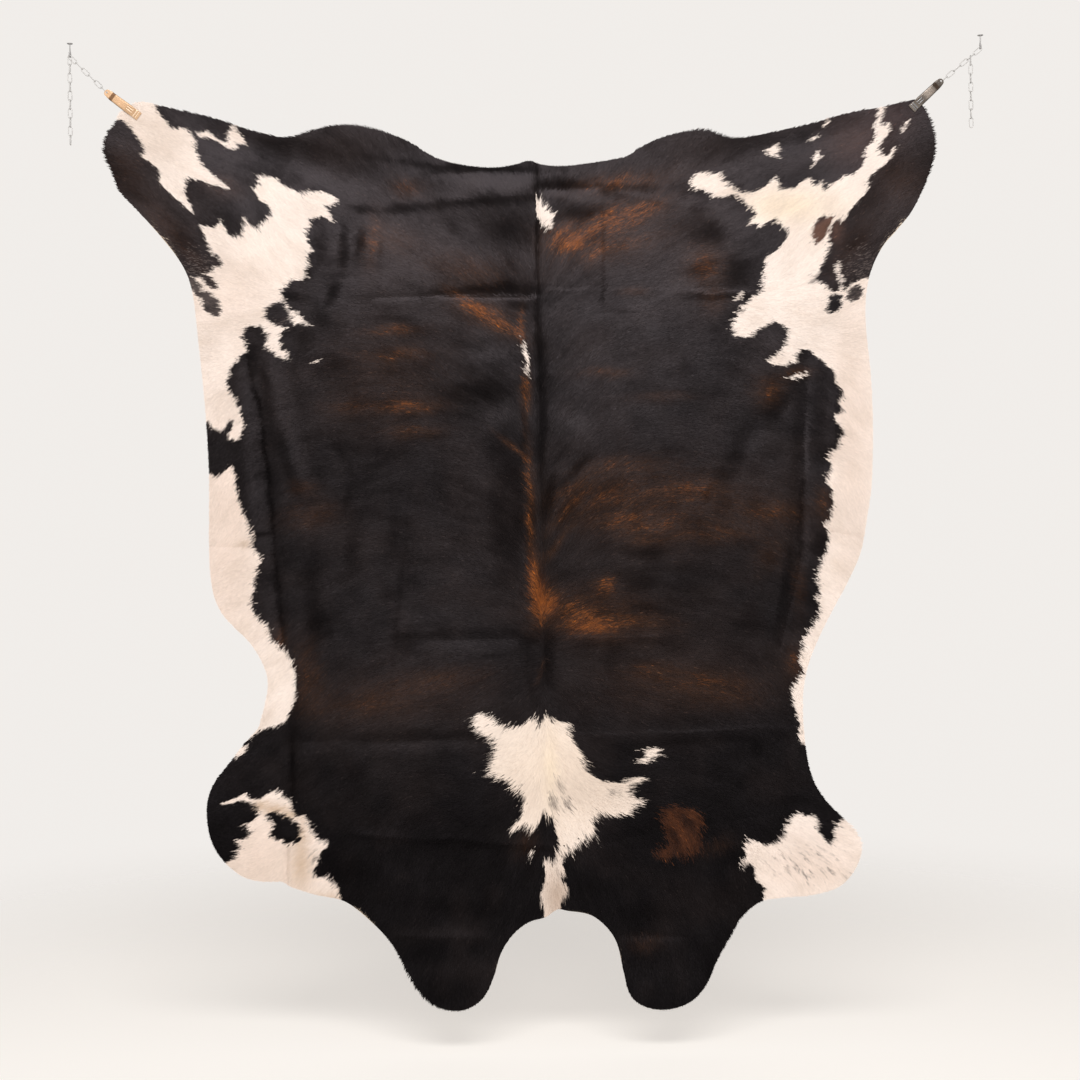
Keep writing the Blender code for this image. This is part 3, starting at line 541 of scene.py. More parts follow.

# The coat's markings as outlines in millimetres (across, drop), from places read off
# the photo.
WHITE_MARKS = {
    "left shank stripe": (
        (-1011, 174), (-991, 150), (-933, 133), (-895, 151), (-880, 182), (-856, 212), (-822, 212),
        (-810, 224), (-799, 244), (-799, 263), (-789, 287), (-780, 304), (-768, 317), (-737, 343),
        (-715, 363), (-737, 358), (-778, 345), (-814, 331), (-824, 343), (-826, 360), (-822, 379),
        (-812, 398), (-807, 415), (-822, 403), (-851, 379), (-875, 354), (-887, 337), (-886, 320),
        (-898, 303), (-910, 289), (-930, 279), (-920, 267), (-932, 245), (-944, 223), (-963, 194),
        (-997, 191)),
    "left shoulder and flank": (
        (-657, 325), (-637, 327), (-601, 333), (-584, 355), (-550, 372), (-517, 370), (-495, 365),
        (-463, 380), (-461, 394), (-481, 409), (-469, 445), (-491, 430), (-520, 437), (-534, 466),
        (-527, 491), (-518, 505), (-530, 524), (-524, 545), (-532, 556), (-534, 574), (-550, 582),
        (-573, 584), (-590, 599), (-592, 624), (-584, 642), (-560, 660), (-522, 692), (-546, 684),
        (-561, 694), (-585, 701), (-600, 717), (-600, 737), (-583, 759), (-576, 776), (-607, 761),
        (-634, 739), (-629, 720),
        (-641, 693), (-682, 692), (-694, 719), (-680, 729), (-682, 755), (-702, 772), (-719, 794),
        (-731, 825), (-724, 842), (-708, 869), (-698, 893), (-691, 930), (-696, 949), (-704, 990),
        (-714, 1036), (-709, 1075), (-700, 1123), (-677, 1177), (-672, 1208), (-675, 1223), (-658, 1244),
        (-653, 1266), (-663, 1298), (-671, 1312), (-668, 1329), (-678, 1365), (-674, 1385), (-635, 1424),
        (-623, 1451), (-604, 1475), (-578, 1499), (-571, 1541), (-569, 1589), (-581, 1623), (-594, 1647),
        (-628, 1661), (-664, 1670), (-679, 1687), (-715, 1711), (-748, 1595), (-823, 1352), (-833, 868),
        (-855, 601), (-821, 575), (-785, 568), (-760, 554), (-760, 527), (-769, 496), (-791, 447),
        (-755, 455), (-740, 435), (-728, 450), (-714, 479), (-692, 472), (-677, 429), (-672, 443),
        (-651, 458), (-631, 439), (-616, 424), (-623, 405), (-645, 385), (-662, 361), (-645, 352),
        (-645, 337)),
    "left hind shank": (
        (-750, 1841), (-731, 1837), (-712, 1830), (-699, 1820), (-685, 1818), (-683, 1830), (-670, 1835),
        (-658, 1837), (-649, 1828), (-634, 1821), (-619, 1814), (-607, 1816), (-603, 1828), (-591, 1838),
        (-579, 1853), (-576, 1867), (-572, 1879), (-560, 1875), (-548, 1884), (-540, 1901), (-528, 1919),
        (-514, 1933), (-500, 1938), (-492, 1948), (-507, 1960), (-517, 1974), (-517, 1989), (-524, 2003),
        (-532, 2013), (-520, 2025), (-500, 2023), (-491, 2033), (-476, 2045), (-469, 2059), (-458, 2101),
        (-564, 2109), (-685, 2079), (-752, 2001), (-732, 1984), (-725, 1982), (-708, 1963), (-722, 1958),
        (-701, 1956), (-705, 1941), (-713, 1929), (-691, 1929), (-683, 1917), (-678, 1907), (-690, 1898),
        (-702, 1893), (-678, 1890), (-668, 1878), (-664, 1864), (-666, 1852), (-678, 1842), (-690, 1837),
        (-707, 1835), (-726, 1843), (-746, 1847)),
    "left hind fleck": (
        (-725, 1721), (-703, 1706), (-689, 1704), (-691, 1719), (-706, 1733)),
    "right shoulder and flank": (
        (858, 160), (871, 160), (868, 186), (861, 201), (858, 213), (869, 220), (877, 211), (881, 225),
        (879, 237), (866, 249), (857, 259), (852, 273), (859, 288), (868, 295), (878, 288), (886, 276),
        (898, 267), (895, 279), (885, 291), (885, 298), (876, 308), (861, 317), (849, 329), (832, 341),
        (824, 355), (827, 370), (817, 389), (800, 404), (785, 420), (778, 430), (773, 447), (763, 452),
        (756, 447), (748, 452), (741, 461), (734, 473), (731, 488), (733, 505), (728, 524), (719, 548),
        (706, 567), (699, 582), (696, 591), (706, 596), (716, 599), (725, 609), (735, 618), (744, 621),
        (752, 618), (769, 619), (776, 612), (786, 600), (800, 597), (827, 588), (863, 617), (899, 884),
        (872, 1271), (773, 1463), (737, 1681), (657, 1716), (645, 1692), (652, 1673), (648, 1656),
        (636, 1619), (629, 1583), (634, 1569), (656, 1542), (652, 1489), (659, 1474), (674, 1446),
        (691, 1419), (703, 1390), (694, 1361), (701, 1342), (695, 1303), (704, 1281), (719, 1250),
        (724, 1216), (722, 1197), (710, 1185), (725, 1173), (735, 1144), (733, 1100), (718, 1081),
        (731, 1037), (721, 1027), (738, 1008), (748, 994), (761, 962), (754, 943), (739, 931), (744, 916),
        (766, 914), (752, 890), (762, 866), (745, 836), (738, 810), (707, 785), (685, 761), (658, 758),
        (649, 775), (651, 789), (598, 801), (581, 789), (610, 760), (627, 741), (630, 717), (618, 700),
        (596, 692), (557, 711), (535, 728), (499, 728), (492, 696), (517, 665), (546, 631), (558, 631),
        (570, 612), (566, 595), (576, 552), (571, 539), (607, 520), (627, 492), (632, 472), (613, 455),
        (603, 441), (577, 455), (564, 467), (555, 455), (535, 459), (553, 430), (536, 411), (519, 396),
        (500, 384), (471, 388), (449, 393), (442, 379), (403, 371), (396, 347), (413, 332), (452, 333),
        (466, 328), (488, 357), (507, 377), (548, 380), (568, 370), (592, 356), (602, 339), (609, 363),
        (621, 373), (645, 371), (665, 356), (682, 344), (689, 357), (706, 364), (720, 347), (717, 378),
        (727, 374), (740, 362), (757, 350), (764, 338), (771, 345), (781, 338), (788, 343), (800, 329),
        (813, 319), (815, 302), (820, 283), (825, 271), (835, 261), (845, 249), (845, 235), (843, 225),
        (847, 213), (851, 201), (855, 183)),
    "right hind shank": (
        (557, 2086), (557, 2057), (538, 2042), (536, 2008), (521, 2003), (497, 2013), (514, 1986),
        (512, 1962), (524, 1945), (551, 1948), (572, 1958), (606, 1941), (616, 1912), (624, 1890),
        (651, 1876), (663, 1891), (677, 1879), (689, 1906), (696, 1940), (718, 1957), (732, 1933),
        (730, 1920), (747, 1894), (808, 1914), (841, 1997), (767, 2093), (646, 2121), (549, 2110)),
    "rump": (
        (-122, 1625), (-98, 1639), (-74, 1666), (-40, 1666), (-13, 1657), (9, 1645), (21, 1665),
        (36, 1638), (45, 1658), (57, 1650), (82, 1655), (94, 1660), (88, 1676), (105, 1704),
        (129, 1745), (126, 1765),
        (155, 1792), (172, 1802), (218, 1802), (245, 1788), (276, 1788), (240, 1809), (237, 1829),
        (268, 1846), (244, 1868), (237, 1882), (183, 1879), (162, 1881), (149, 1901), (152, 1927),
        (120, 1939), (103, 1961), (79, 1970), (69, 1997), (78, 2018), (66, 2023), (73, 2045), (87, 2060),
        (68, 2089), (58, 2130), (31, 2139), (26, 2108), (17, 2071), (30, 2030), (28, 1989), (49, 1996),
        (67, 1948), (57, 1919), (53, 1880), (38, 1885), (24, 1873), (14, 1897), (6, 1919), (-20, 1904),
        (-42, 1913), (-54, 1906), (-27, 1892), (-22, 1843), (-46, 1809), (-60, 1795), (-89, 1787),
        (-108, 1767), (-94, 1751), (-93, 1717), (-93, 1695), (-115, 1688), (-139, 1673), (-139, 1641)),
    "rump blot": (
        (-11, 1967), (-1, 1962), (3, 1974), (-6, 1979)),
    "rump dash": (
        (256, 1745), (268, 1743), (273, 1734), (276, 1723), (285, 1717), (302, 1719), (315, 1723),
        (308, 1727), (299, 1737), (286, 1747), (272, 1757), (262, 1753)),
    "spine tuft": (
        (23, 380), (30, 399), (35, 382), (40, 406), (47, 399), (49, 416), (59, 414), (56, 426),
        (69, 431), (61, 445), (63, 462), (49, 462), (39, 455), (32, 438), (25, 421)),
    "spine sliver": (
        (-12, 725), (-8, 735), (-4, 754), (-1, 779), (0, 805), (-1, 822), (-5, 812), (-7, 788),
        (-11, 759)),
    "left dash": (
        (-524, 780), (-514, 777), (-504, 778), (-513, 783)),
    "right dash": (
        (500, 638), (510, 624), (519, 616), (517, 629), (505, 641)),
    "right sliver": (
        (626, 830), (648, 819), (677, 812), (663, 823), (634, 835)),
    "right arm bit one": (
        (578, 278), (595, 261), (607, 259), (607, 281), (617, 295), (595, 290)),
    "right arm bit two": (
        (689, 294), (704, 279), (711, 294), (701, 311), (689, 323), (697, 301)),
    "right arm bit three": (
        (683, 248), (695, 243), (707, 241), (697, 253)),
    "right arm bit four": (
        (719, 219), (727, 202), (734, 207), (726, 219)),
    "right arm notch": (
        (750, 542), (754, 558), (757, 573), (762, 590), (761, 609), (768, 623), (756, 625), (754, 616),
        (756, 602), (753, 587), (748, 570), (747, 553)),
    "right arm spike": (
        (903, 240), (913, 221), (927, 204), (920, 226)),
    "left band tuft one": (
        (-798, 222), (-781, 217), (-769, 215), (-760, 225), (-748, 234), (-733, 244), (-719, 252),
        (-707, 264), (-721, 261), (-736, 249), (-753, 239), (-769, 229), (-789, 234)),
    "left band tuft two": (
        (-733, 247), (-721, 247), (-723, 232), (-719, 223), (-716, 208), (-711, 220), (-709, 196),
        (-704, 213), (-699, 201), (-697, 223), (-685, 235), (-675, 247), (-682, 250), (-697, 247),
        (-702, 257), (-709, 264), (-719, 256)),
}
DARK_MARKS = {
    "left edge spot": (
        (-814, 911), (-781, 921), (-766, 936), (-745, 944), (-732, 927), (-725, 917), (-715, 920),
        (-715, 941), (-728, 949), (-723, 966), (-699, 968), (-689, 956), (-690, 1038), (-709, 1043),
        (-714, 1036), (-726, 1031), (-736, 1038), (-755, 1052), (-775, 1047), (-816, 1047)),
    "left shoulder spot": (
        (-634, 662), (-632, 648), (-620, 639), (-604, 634), (-590, 638), (-580, 651), (-572, 664),
        (-567, 678), (-560, 691), (-568, 699), (-587, 695), (-605, 691), (-624, 682), (-633, 672)),
    "left hind spot": (
        (-639, 1869), (-618, 1865), (-599, 1871), (-583, 1881), (-570, 1893), (-561, 1911), (-561, 1932),
        (-574, 1944), (-591, 1941), (-606, 1935), (-620, 1934), (-634, 1922), (-629, 1911), (-625, 1903),
        (-628, 1891), (-636, 1884)),
}
# Brown marks also have a colour, and how far their edge's hairs stray in millimetres.
BrownMark = namedtuple("BrownMark", "colour stray outline")
BROWN_MARKS = {
    "right arm island": BrownMark("island brown", 0.8, (
        (710, 437), (741, 437), (741, 447), (734, 466), (724, 483), (714, 495), (704, 500), (697, 507),
        (695, 495), (690, 480), (695, 463), (702, 449))),
    "rump spot": BrownMark("red brown", 5.0, (
        (314, 1875), (329, 1864), (351, 1861), (367, 1866), (377, 1864), (401, 1874), (413, 1896),
        (411, 1920), (403, 1939), (408, 1959), (403, 1973), (381, 1975), (362, 1985), (337, 1982),
        (318, 1989), (299, 1979), (296, 1970), (318, 1963), (328, 1951), (323, 1929), (319, 1909),
        (314, 1895))),
}
BROWN_TONE = 0.85
BROWN_HAIRS = 0.16
BROWN_STREAKS = Streaks(0.45, 12, 8, 22)
BROWN_TONE_LIMITS = (0.25, 1.4)

# Round spots, in millimetres: half lengths, and the tilt of the long one above level.
Spot = namedtuple("Spot", "name across drop half_long half_wide tilt_deg colour")
SPOTS = (
    Spot("left arm spot one", -752, 532, 18, 11, -72, "soft black"),
    Spot("left arm spot two", -767, 584, 25, 10, -42, "soft black"),
    Spot("left arm spot three", -767, 636, 35, 20, -56, "grey brown"),
    Spot("left arm edge", -806, 592, 30, 12, -66, "grey brown"),
    Spot("right arm spot one", 743, 648, 26, 17, 65, "black"),
    Spot("right arm spot two", 793, 625, 23, 16, 60, "grey brown"),
)
# How the marks' edges wander across and down.
MARK_WANDER = (
    (Noise(2.6, 24.0, 30), Noise(2.6, 24.0, 40)),
    (Noise(1.6, 9.0, 31), Noise(1.6, 9.0, 41)),
)

COLOURS = {
    "black": (0.0058, 0.0043, 0.0040),
    "soft black": (0.0190, 0.0118, 0.0096),
    "warm black": (0.0270, 0.0130, 0.0105),
    "brindle": (0.050, 0.0170, 0.0025),
    "bright brindle": (0.235, 0.0625, 0.003),
    "gold": (0.33, 0.078, 0.002),
    "red brown": (0.052, 0.0135, 0.0012),
    "island brown": (0.088, 0.040, 0.024),
    "grey brown": (0.060, 0.046, 0.041),
    "white": (0.86, 0.745, 0.668),
    "rose white": (0.80, 0.655, 0.565),
    "cream": (0.84, 0.69, 0.50),
    "rump cream": (0.76, 0.630, 0.515),
    "beige": (0.64, 0.52, 0.43),
    "tan": (0.57, 0.415, 0.290),
    "tail white": (0.42, 0.310, 0.235),
    "freckle": (0.13, 0.108, 0.095),
    "light hair": (0.070, 0.053, 0.046),
    "cut edge": (0.62, 0.50, 0.38),
}

# Soft areas where the black is browner or the white warmer or greyer. Three tan ones in the white are
# painted
# shade: by the left flank crease, past the left hind fold and along the left hind's lower rim.
Tint = namedtuple("Tint", "name across drop reach_across reach_drop strength colour")
Area = namedtuple("Area", "name across drop reach_across reach_drop strength")
DARK_TINTS = (
    Tint("right arm", 875, 394, 110, 210, 0.9, "soft black"),
    Tint("right arm lobe", 748, 470, 17, 30, 0.7, "island brown"),
    Tint("right arm top", 805, 260, 65, 65, 1.0, "warm black"),
    Tint("right arm top, outer", 880, 200, 60, 50, 0.9, "warm black"),
    Tint("left arm", -912, 412, 120, 190, 0.85, "soft black"),
    Tint("left neck lobe", -426, 262, 140, 55, 0.55, "soft black"),
    Tint("right neck lobe", 397, 275, 140, 60, 0.5, "soft black"),
    Tint("left flank edge", -640, 1455, 40, 60, 0.7, "soft black"),
    Tint("right flank edge", 640, 1515, 40, 70, 0.7, "soft black"),
    Tint("left ribs", -330, 1600, 160, 90, 0.5, "soft black"),
    Tint("right loin", 330, 1540, 180, 80, 0.6, "soft black"),
    Tint("left shoulder", -330, 560, 130, 120, 0.5, "soft black"),
    Tint("right shoulder", 430, 560, 90, 110, 0.6, "soft black"),
    Tint("right mid", 560, 1130, 110, 60, 0.5, "soft black"),
)
# Where the brindle glows golden.
GLOWS = (
    Area("spine foot", 21, 1349, 14, 34, 0.55),
    Area("spine foot, right", 44, 1371, 18, 22, 0.35),
    Area("spine, lower", 6, 1290, 9, 36, 0.20),
    Area("loin", 140, 1424, 50, 18, 0.15),
)
WHITE_TINTS = (
    Tint("left shoulder, low", -719, 620, 110, 100, 0.6, "rose white"),
    Tint("left flank", -733, 1215, 90, 330, 1.0, "rose white"),
    Tint("right flank", 780, 992, 60, 340, 0.75, "rose white"),
    Tint("right arm", 633, 412, 115, 42, 0.75, "cream"),
    Tint("rump", 70, 1780, 230, 180, 0.9, "rump cream"),
    Tint("rump line", 45, 1765, 20, 100, 0.5, "cream"),
    Tint("left hind", -650, 1975, 150, 120, 1.0, "rose white"),
    Tint("left hind, low", -650, 2030, 110, 60, 0.45, "beige"),
    Tint("right arm, shaded", 515, 384, 42, 22, 0.6, "beige"),
    Tint("left hind, band", -659, 1850, 24, 12, 1.0, "tan"),
    Tint("left hind, mid band", -622, 1860, 26, 12, 1.0, "tan"),
    Tint("left hind, band end", -588, 1874, 22, 13, 1.0, "tan"),
    Tint("left hind, beside the spot", -558, 1920, 12, 34, 0.85, "tan"),
    # Painted shade on the far side of the left hind fold.
    Tint("left hind, past the fold", -560, 1995, 24, 60, 0.85, "tan"),
    # Painted shade along the left flank crease.
    Tint("left flank crease", -692, 1218, 16, 8, 0.7, "tan"),
    # Painted shadow along the left hind's lower rim.
    Tint("left hind, low rim", -503, 2074, 70, 12, 0.7, "tan"),
    Tint("right hind", 662, 2011, 120, 70, 0.8, "rose white"),
    Tint("rump, right", 164, 1833, 120, 60, 0.5, "beige"),
    Tint("rump, low", 60, 2075, 50, 80, 0.9, "tail white"),
    Tint("left shank", -886, 238, 110, 80, 0.6, "beige"),
    Tint("left clip corner", -960, 185, 40, 30, 0.5, "beige"),
)

# Grey freckles in the white: where, and the share of hairs that are dark at the middle.
FRECKLES = (
    Area("rump, left of the line", 52, 1848, 13, 15, 1.0),
    Area("rump, right of the line", 84, 1853, 12, 16, 0.8),
    Area("rump, right", 196, 1827, 16, 11, 0.6),
    Area("rump, above", 69, 1807, 9, 14, 0.45),
    Area("rump, low", 62, 2040, 22, 40, 0.25),
    Area("right hind", 662, 2011, 120, 60, 0.24),
    Area("left hind", -530, 1985, 24, 30, 0.30),
    Area("left shoulder", -683, 595, 60, 80, 0.06),
    Area("right shoulder", 706, 633, 35, 45, 0.10),
    Area("right arm foot", 691, 594, 13, 20, 0.45),
)
# Light hairs in the black: where, and their share at the middle.
LIGHT_HAIRS = (
    Area("right arm, low", 805, 563, 48, 34, 0.34),
    Area("left arm, low", -794, 545, 38, 36, 0.34),
    Area("left arm, spots", -772, 622, 34, 44, 0.40),
    Area("left arm, edge", -806, 592, 14, 30, 0.50),
    Area("right arm spot", 795, 628, 20, 22, 0.40),
    Area("left shoulder spot", -588, 684, 16, 12, 0.35),
)
FRECKLE_LUMPS = Streaks(0.5, 4.5, 4.5, 15)
FRECKLE_STRAY = 0.10
FRECKLE_GAIN = 1.9
FRECKLE_LEAST = 0.04
FRECKLE_FADE = 0.35
FRECKLE_DEPTH = 0.85
FRECKLE_HAIRS = (0.25, 1.15)

# Brindle: brown streaks in the black. Reach is in millimetres along and across the streaks,
# and tilt is how the streaks rise to the right.
Brindle = namedtuple("Brindle", "name across drop reach_along reach_wide tilt_deg strength")
BRINDLES = (
    Brindle("neck, left", -287, 360, 39, 22, 0, 0.55),
    Brindle("neck, right", 225, 352, 116, 24, 6, 0.58),
    Brindle("left shoulder, upright", -372, 492, 56, 20, 84, 0.56),
    Brindle("left shoulder, beside", -314, 485, 53, 31, -10, 0.30),
    Brindle("left shoulder, low", -175, 547, 97, 34, -10, 0.22),
    Brindle("right shoulder, upright", 430, 555, 44, 40, 84, 0.62),
    Brindle("right shoulder, low", 449, 638, 31, 29, 84, 0.42),
    Brindle("withers, core", 111, 501, 44, 12, 4, 1.00),
    Brindle("withers, lower left", 92, 484, 48, 34, 10, 0.64),
    Brindle("withers, middle", 185, 449, 82, 31, 24, 0.60),
    Brindle("withers, right end", 279, 425, 63, 22, 24, 0.62),
    Brindle("withers, low branch", 237, 505, 92, 22, 14, 0.30),
    Brindle("withers, foot", 169, 526, 34, 17, 40, 0.40),
    Brindle("withers, wide", 213, 471, 169, 73, 12, 0.30),
    Brindle("fan, outer stroke", -130, 649, 63, 15, -34, 0.74),
    Brindle("fan, middle stroke", -91, 686, 73, 15, -28, 0.56),
    Brindle("fan, inner stroke", -50, 686, 53, 10, -50, 0.62),
    Brindle("fan, upright", -16, 694, 44, 7, 88, 0.85),
    Brindle("fan, wide", -96, 669, 97, 39, -26, 0.30),
    Brindle("fan, left dim", -114, 569, 58, 34, -10, 0.28),
    Brindle("spine, below the sliver", -5, 850, 46, 11, 88, 0.80),
    Brindle("spine, high", -9, 930, 100, 7, 89, 0.24),
    Brindle("spine, wisp", -38, 991, 48, 6, -42, 0.55),
    Brindle("spine, upper middle", 0, 1057, 68, 8, 89, 0.58),
    Brindle("spine, middle", 4, 1166, 92, 10, 89, 0.70),
    Brindle("spine, lower", 12, 1318, 58, 13, 87, 1.00),
    Brindle("spine, foot", 26, 1369, 48, 24, 84, 1.00),
    Brindle("spine, feather one", 64, 1227, 63, 10, 52, 0.42),
    Brindle("spine, feather two", 89, 1142, 73, 12, 48, 0.36),
    Brindle("spine, feather three", 111, 1082, 58, 12, 30, 0.34),
    Brindle("spine, past the foot", 24, 1532, 24, 4, 76, 0.35),
    Brindle("left side, high", -321, 708, 58, 12, 2, 0.55),
    Brindle("left side, second", -314, 764, 73, 15, 2, 0.42),
    Brindle("left side, third", -296, 887, 73, 17, 2, 0.66),
    Brindle("left side, fourth", -277, 948, 63, 17, 0, 0.38),
    Brindle("left side, outer", -427, 891, 53, 19, 0, 0.28),
    Brindle("left side, wide", -334, 824, 145, 121, 0, 0.16),
    Brindle("left ribs, high", -545, 1083, 34, 17, 0, 0.32),
    Brindle("left ribs, low", -531, 1149, 58, 34, 10, 0.36),
    Brindle("right side, high", 188, 812, 53, 12, 0, 0.36),
    Brindle("right side, fleck", 258, 619, 34, 10, 0, 0.30),
    Brindle("right side, second", 319, 874, 73, 12, 2, 0.22),
    Brindle("right armpit", 582, 861, 39, 34, 60, 0.50),
    Brindle("right armpit, edge", 651, 819, 29, 12, 10, 0.45),
    Brindle("right mid, high", 225, 1037, 82, 19, 4, 0.42),
    Brindle("right mid, core", 394, 1094, 82, 27, -3, 0.40),
    Brindle("right mid, left", 171, 1112, 97, 29, 8, 0.34),
    Brindle("right mid, low", 253, 1178, 111, 24, -4, 0.42),
    Brindle("right mid, foot", 279, 1219, 44, 10, 0, 0.34),
    Brindle("right mid, wide", 292, 1132, 218, 92, -2, 0.32),
    Brindle("right mid, outer", 587, 1152, 82, 27, -2, 0.42),
    Brindle("right mid, outer edge", 713, 1131, 19, 39, 0, 0.45),
    Brindle("right mid, far low", 461, 1202, 97, 22, 0, 0.32),
    Brindle("right mid, very low", 581, 1256, 48, 34, 60, 0.26),
    Brindle("loin, peak", 182, 1326, 26, 22, 60, 0.72),
    Brindle("loin, left", 98, 1380, 62, 31, -20, 0.42),
    Brindle("loin, core", 142, 1422, 62, 24, -4, 0.68),
    Brindle("loin, right", 250, 1412, 80, 17, -4, 0.30),
    Brindle("loin, wide", 169, 1397, 145, 63, -8, 0.36),
    Brindle("right loin, core", 380, 1557, 82, 22, -6, 0.30),
    Brindle("right loin, right", 477, 1587, 73, 34, 0, 0.26),
    Brindle("right loin, left", 288, 1532, 63, 19, 6, 0.32),
    Brindle("right loin, wide", 385, 1576, 194, 58, 0, 0.20),
    Brindle("right waist edge", 639, 1520, 19, 34, 0, 0.45),
    Brindle("right flank edge", 651, 1332, 15, 53, 0, 0.36),
    Brindle("left loin, outer", -395, 1612, 82, 27, 4, 0.26),
    Brindle("left loin, inner", -220, 1551, 106, 24, 8, 0.24),
    Brindle("left loin, wide", -317, 1586, 194, 58, 6, 0.18),
    Brindle("left waist", -542, 1519, 29, 63, 0, 0.34),
    Brindle("left waist edge", -606, 1453, 15, 34, 0, 0.50),
    Brindle("left waist, low", -533, 1589, 39, 44, 0, 0.28),
    Brindle("rump, left", -13, 1945, 34, 24, 60, 0.22),
    Brindle("right butt lobe", 270, 2190, 39, 19, 0, 0.22),
    Brindle("red spot, outer", 444, 1959, 44, 19, 20, 0.20),
    Brindle("left arm, high", -973, 298, 39, 58, 20, 0.18),
    Brindle("left arm, middle", -868, 451, 97, 29, -48, 0.20),
    Brindle("left arm, low", -808, 524, 63, 17, -50, 0.24),
    Brindle("left arm, inner", -737, 353, 44, 24, -20, 0.30),
    Brindle("right arm, high", 789, 258, 82, 39, 14, 0.20),
    Brindle("right arm, outer", 911, 356, 48, 53, 50, 0.18),
    Brindle("right arm, low", 782, 520, 97, 34, 58, 0.18),
    Brindle("right shoulder, top", 661, 436, 48, 19, 0, 0.30),
)
BRINDLE_FINE = Streaks(1.0, 2.4, 6.0, 66)
BRINDLE_BROAD = Streaks(1.0, 3.2 * BRINDLE_FINE.size, 2 * BRINDLE_FINE.step, 67)
BRINDLE_WANDER = (Noise(5, 30, 68), Noise(5, 30, 69))
BRINDLE_RAGGED = 3.0
BRINDLE_LEVEL = 0.92
BRINDLE_FINE_SHARE = 0.36
BRINDLE_BROAD_SHARE = 0.26
BRINDLE_HAIRS = 0.30
BRINDLE_GAIN = 1.25
BRIGHT_BRINDLE_GAIN = 1.65
BRIGHT_BRINDLE_START = 0.85
BRIGHT_BRINDLE_MOST = 0.9
GLOW_HAIRS = (0.9, 0.3)
GLOW_MOST = 1.3

# The black is painted darker towards the rump, as painted shade where the light falls off, and softer in
# clouds, and the white is beige in clouds.
PAINTED_LOW_SHADE_DROP = 1250.0
PAINTED_LOW_SHADE_REACH = 700.0
PAINTED_LOW_SHADE_DEPTH = 0.6
SOFT_BLACK_LEVEL = 0.14
SOFT_BLACK_CLOUDS = (Noise(0.22, 150, 11), Noise(0.16, 45, 12))
SOFT_BLACK_FADE = 0.15
BEIGE_LEVEL = 0.12
BEIGE_CLOUDS = Noise(1.0, 46, 19)
BEIGE_DRIFTS = Streaks(0.6, 14, 12, 21)
BEIGE_CLOUD_SHARE = 0.22
BEIGE_STREAKS = Streaks(0.16, 5.0, 7.0, 16)
BEIGE_MOST = 0.7

# The room.
CAMERA_X = 25.0 * MM
CAMERA_Z = -1214.5 * MM
FRAME_WIDTH = 2613.6 * MM
LENS_MM = 55.1
SENSOR_MM = 36.0
PHOTO_ROLL_DEG = 0.53
FLOOR_Z = -2453.5 * MM
WORLD_LIGHT = 0.31
WORLD_SHINE = 0.035
Light = namedtuple("Light", "name place aim size power colour shines")
LIGHTS = (
    Light("ceiling softbox", (0.0, -3.2, 1.5), (0.0, 0.0, -1.0), (3.6, 1.2), 100, (1.0, 0.985, 0.965), True),
    Light("front fill", (0.2, -6.0, -1.0), (0.0, 0.0, -1.0), (4.0, 2.5), 180, (1.0, 0.985, 0.965), False),
)
FLOOR_RADIUS = 3.4
FLOOR_STEPS = 96
FLOOR_FADE = (0.35, 0.98)


# Numbers on the hide.

def ease(value):
    """Ease from 0 to 1, flat at both ends."""
    value = np.clip(value, 0.0, 1.0)
    return value * value * (3 - 2 * value)


def grain(across, drop, size, seed):
    """Return smooth random values from -1 to 1 whose lumps have the given size."""
    table = np.random.default_rng(seed).uniform(-1, 1, (NOISE_CELLS, NOISE_CELLS))
    u, v = across / size, drop / size
    column, row = np.floor(u).astype(int), np.floor(v).astype(int)
    right, lower = ease(u - column), ease(v - row)
    column, row = column % NOISE_CELLS, row % NOISE_CELLS
    column_after, row_after = (column + 1) % NOISE_CELLS, (row + 1) % NOISE_CELLS
    upper_row = table[row, column] * (1 - right) + table[row, column_after] * right
    lower_row = table[row_after, column] * (1 - right) + table[row_after, column_after] * right
    return upper_row * (1 - lower) + lower_row * lower


def noise(kind, across, drop):
    """Return a noise at each place, up to its strength."""
    return kind.strength * grain(across, drop, kind.size, kind.seed)


def streaks(kind, across, drop, flow):
    """Return a noise that is drawn out along the lie of the hair, up to its strength."""
    total = np.zeros(len(across))
    for count in STREAK_STEPS:
        shift = count * kind.step
        total += grain(across + shift * flow[0], drop + shift * flow[1], kind.size, kind.seed)
    return kind.strength * np.clip(total / STREAK_EVENING, -1, 1)


def rotated(x, z, turn):
    """Return directions turned by an angle."""
    return x * np.cos(turn) - z * np.sin(turn), x * np.sin(turn) + z * np.cos(turn)


def line_place(line, across, drop):
    """Return each place's share along a line and its signed distance from it."""
    start = np.array(line.start, float)
    run = np.array(line.end, float) - start
    length = math.hypot(*run)
    along = ((across - start[0]) * run[0] + (drop - start[1]) * run[1]) / length ** 2
    beside = ((across - start[0]) * run[1] - (drop - start[1]) * run[0]) / length
    return along, beside


def end_taper(along, fade):
    """Return 1 along a line, easing to 0 past its ends."""
    return ease((along + fade) / (2 * fade)) * ease((1 + fade - along) / (2 * fade))


def grip_places():
    """Return the places where the two jaws hold the hide, in millimetres."""
    return [(clip.grip[0] / MM, -clip.grip[1] / MM) for clip in map(clip_frame, HANGINGS.values())]


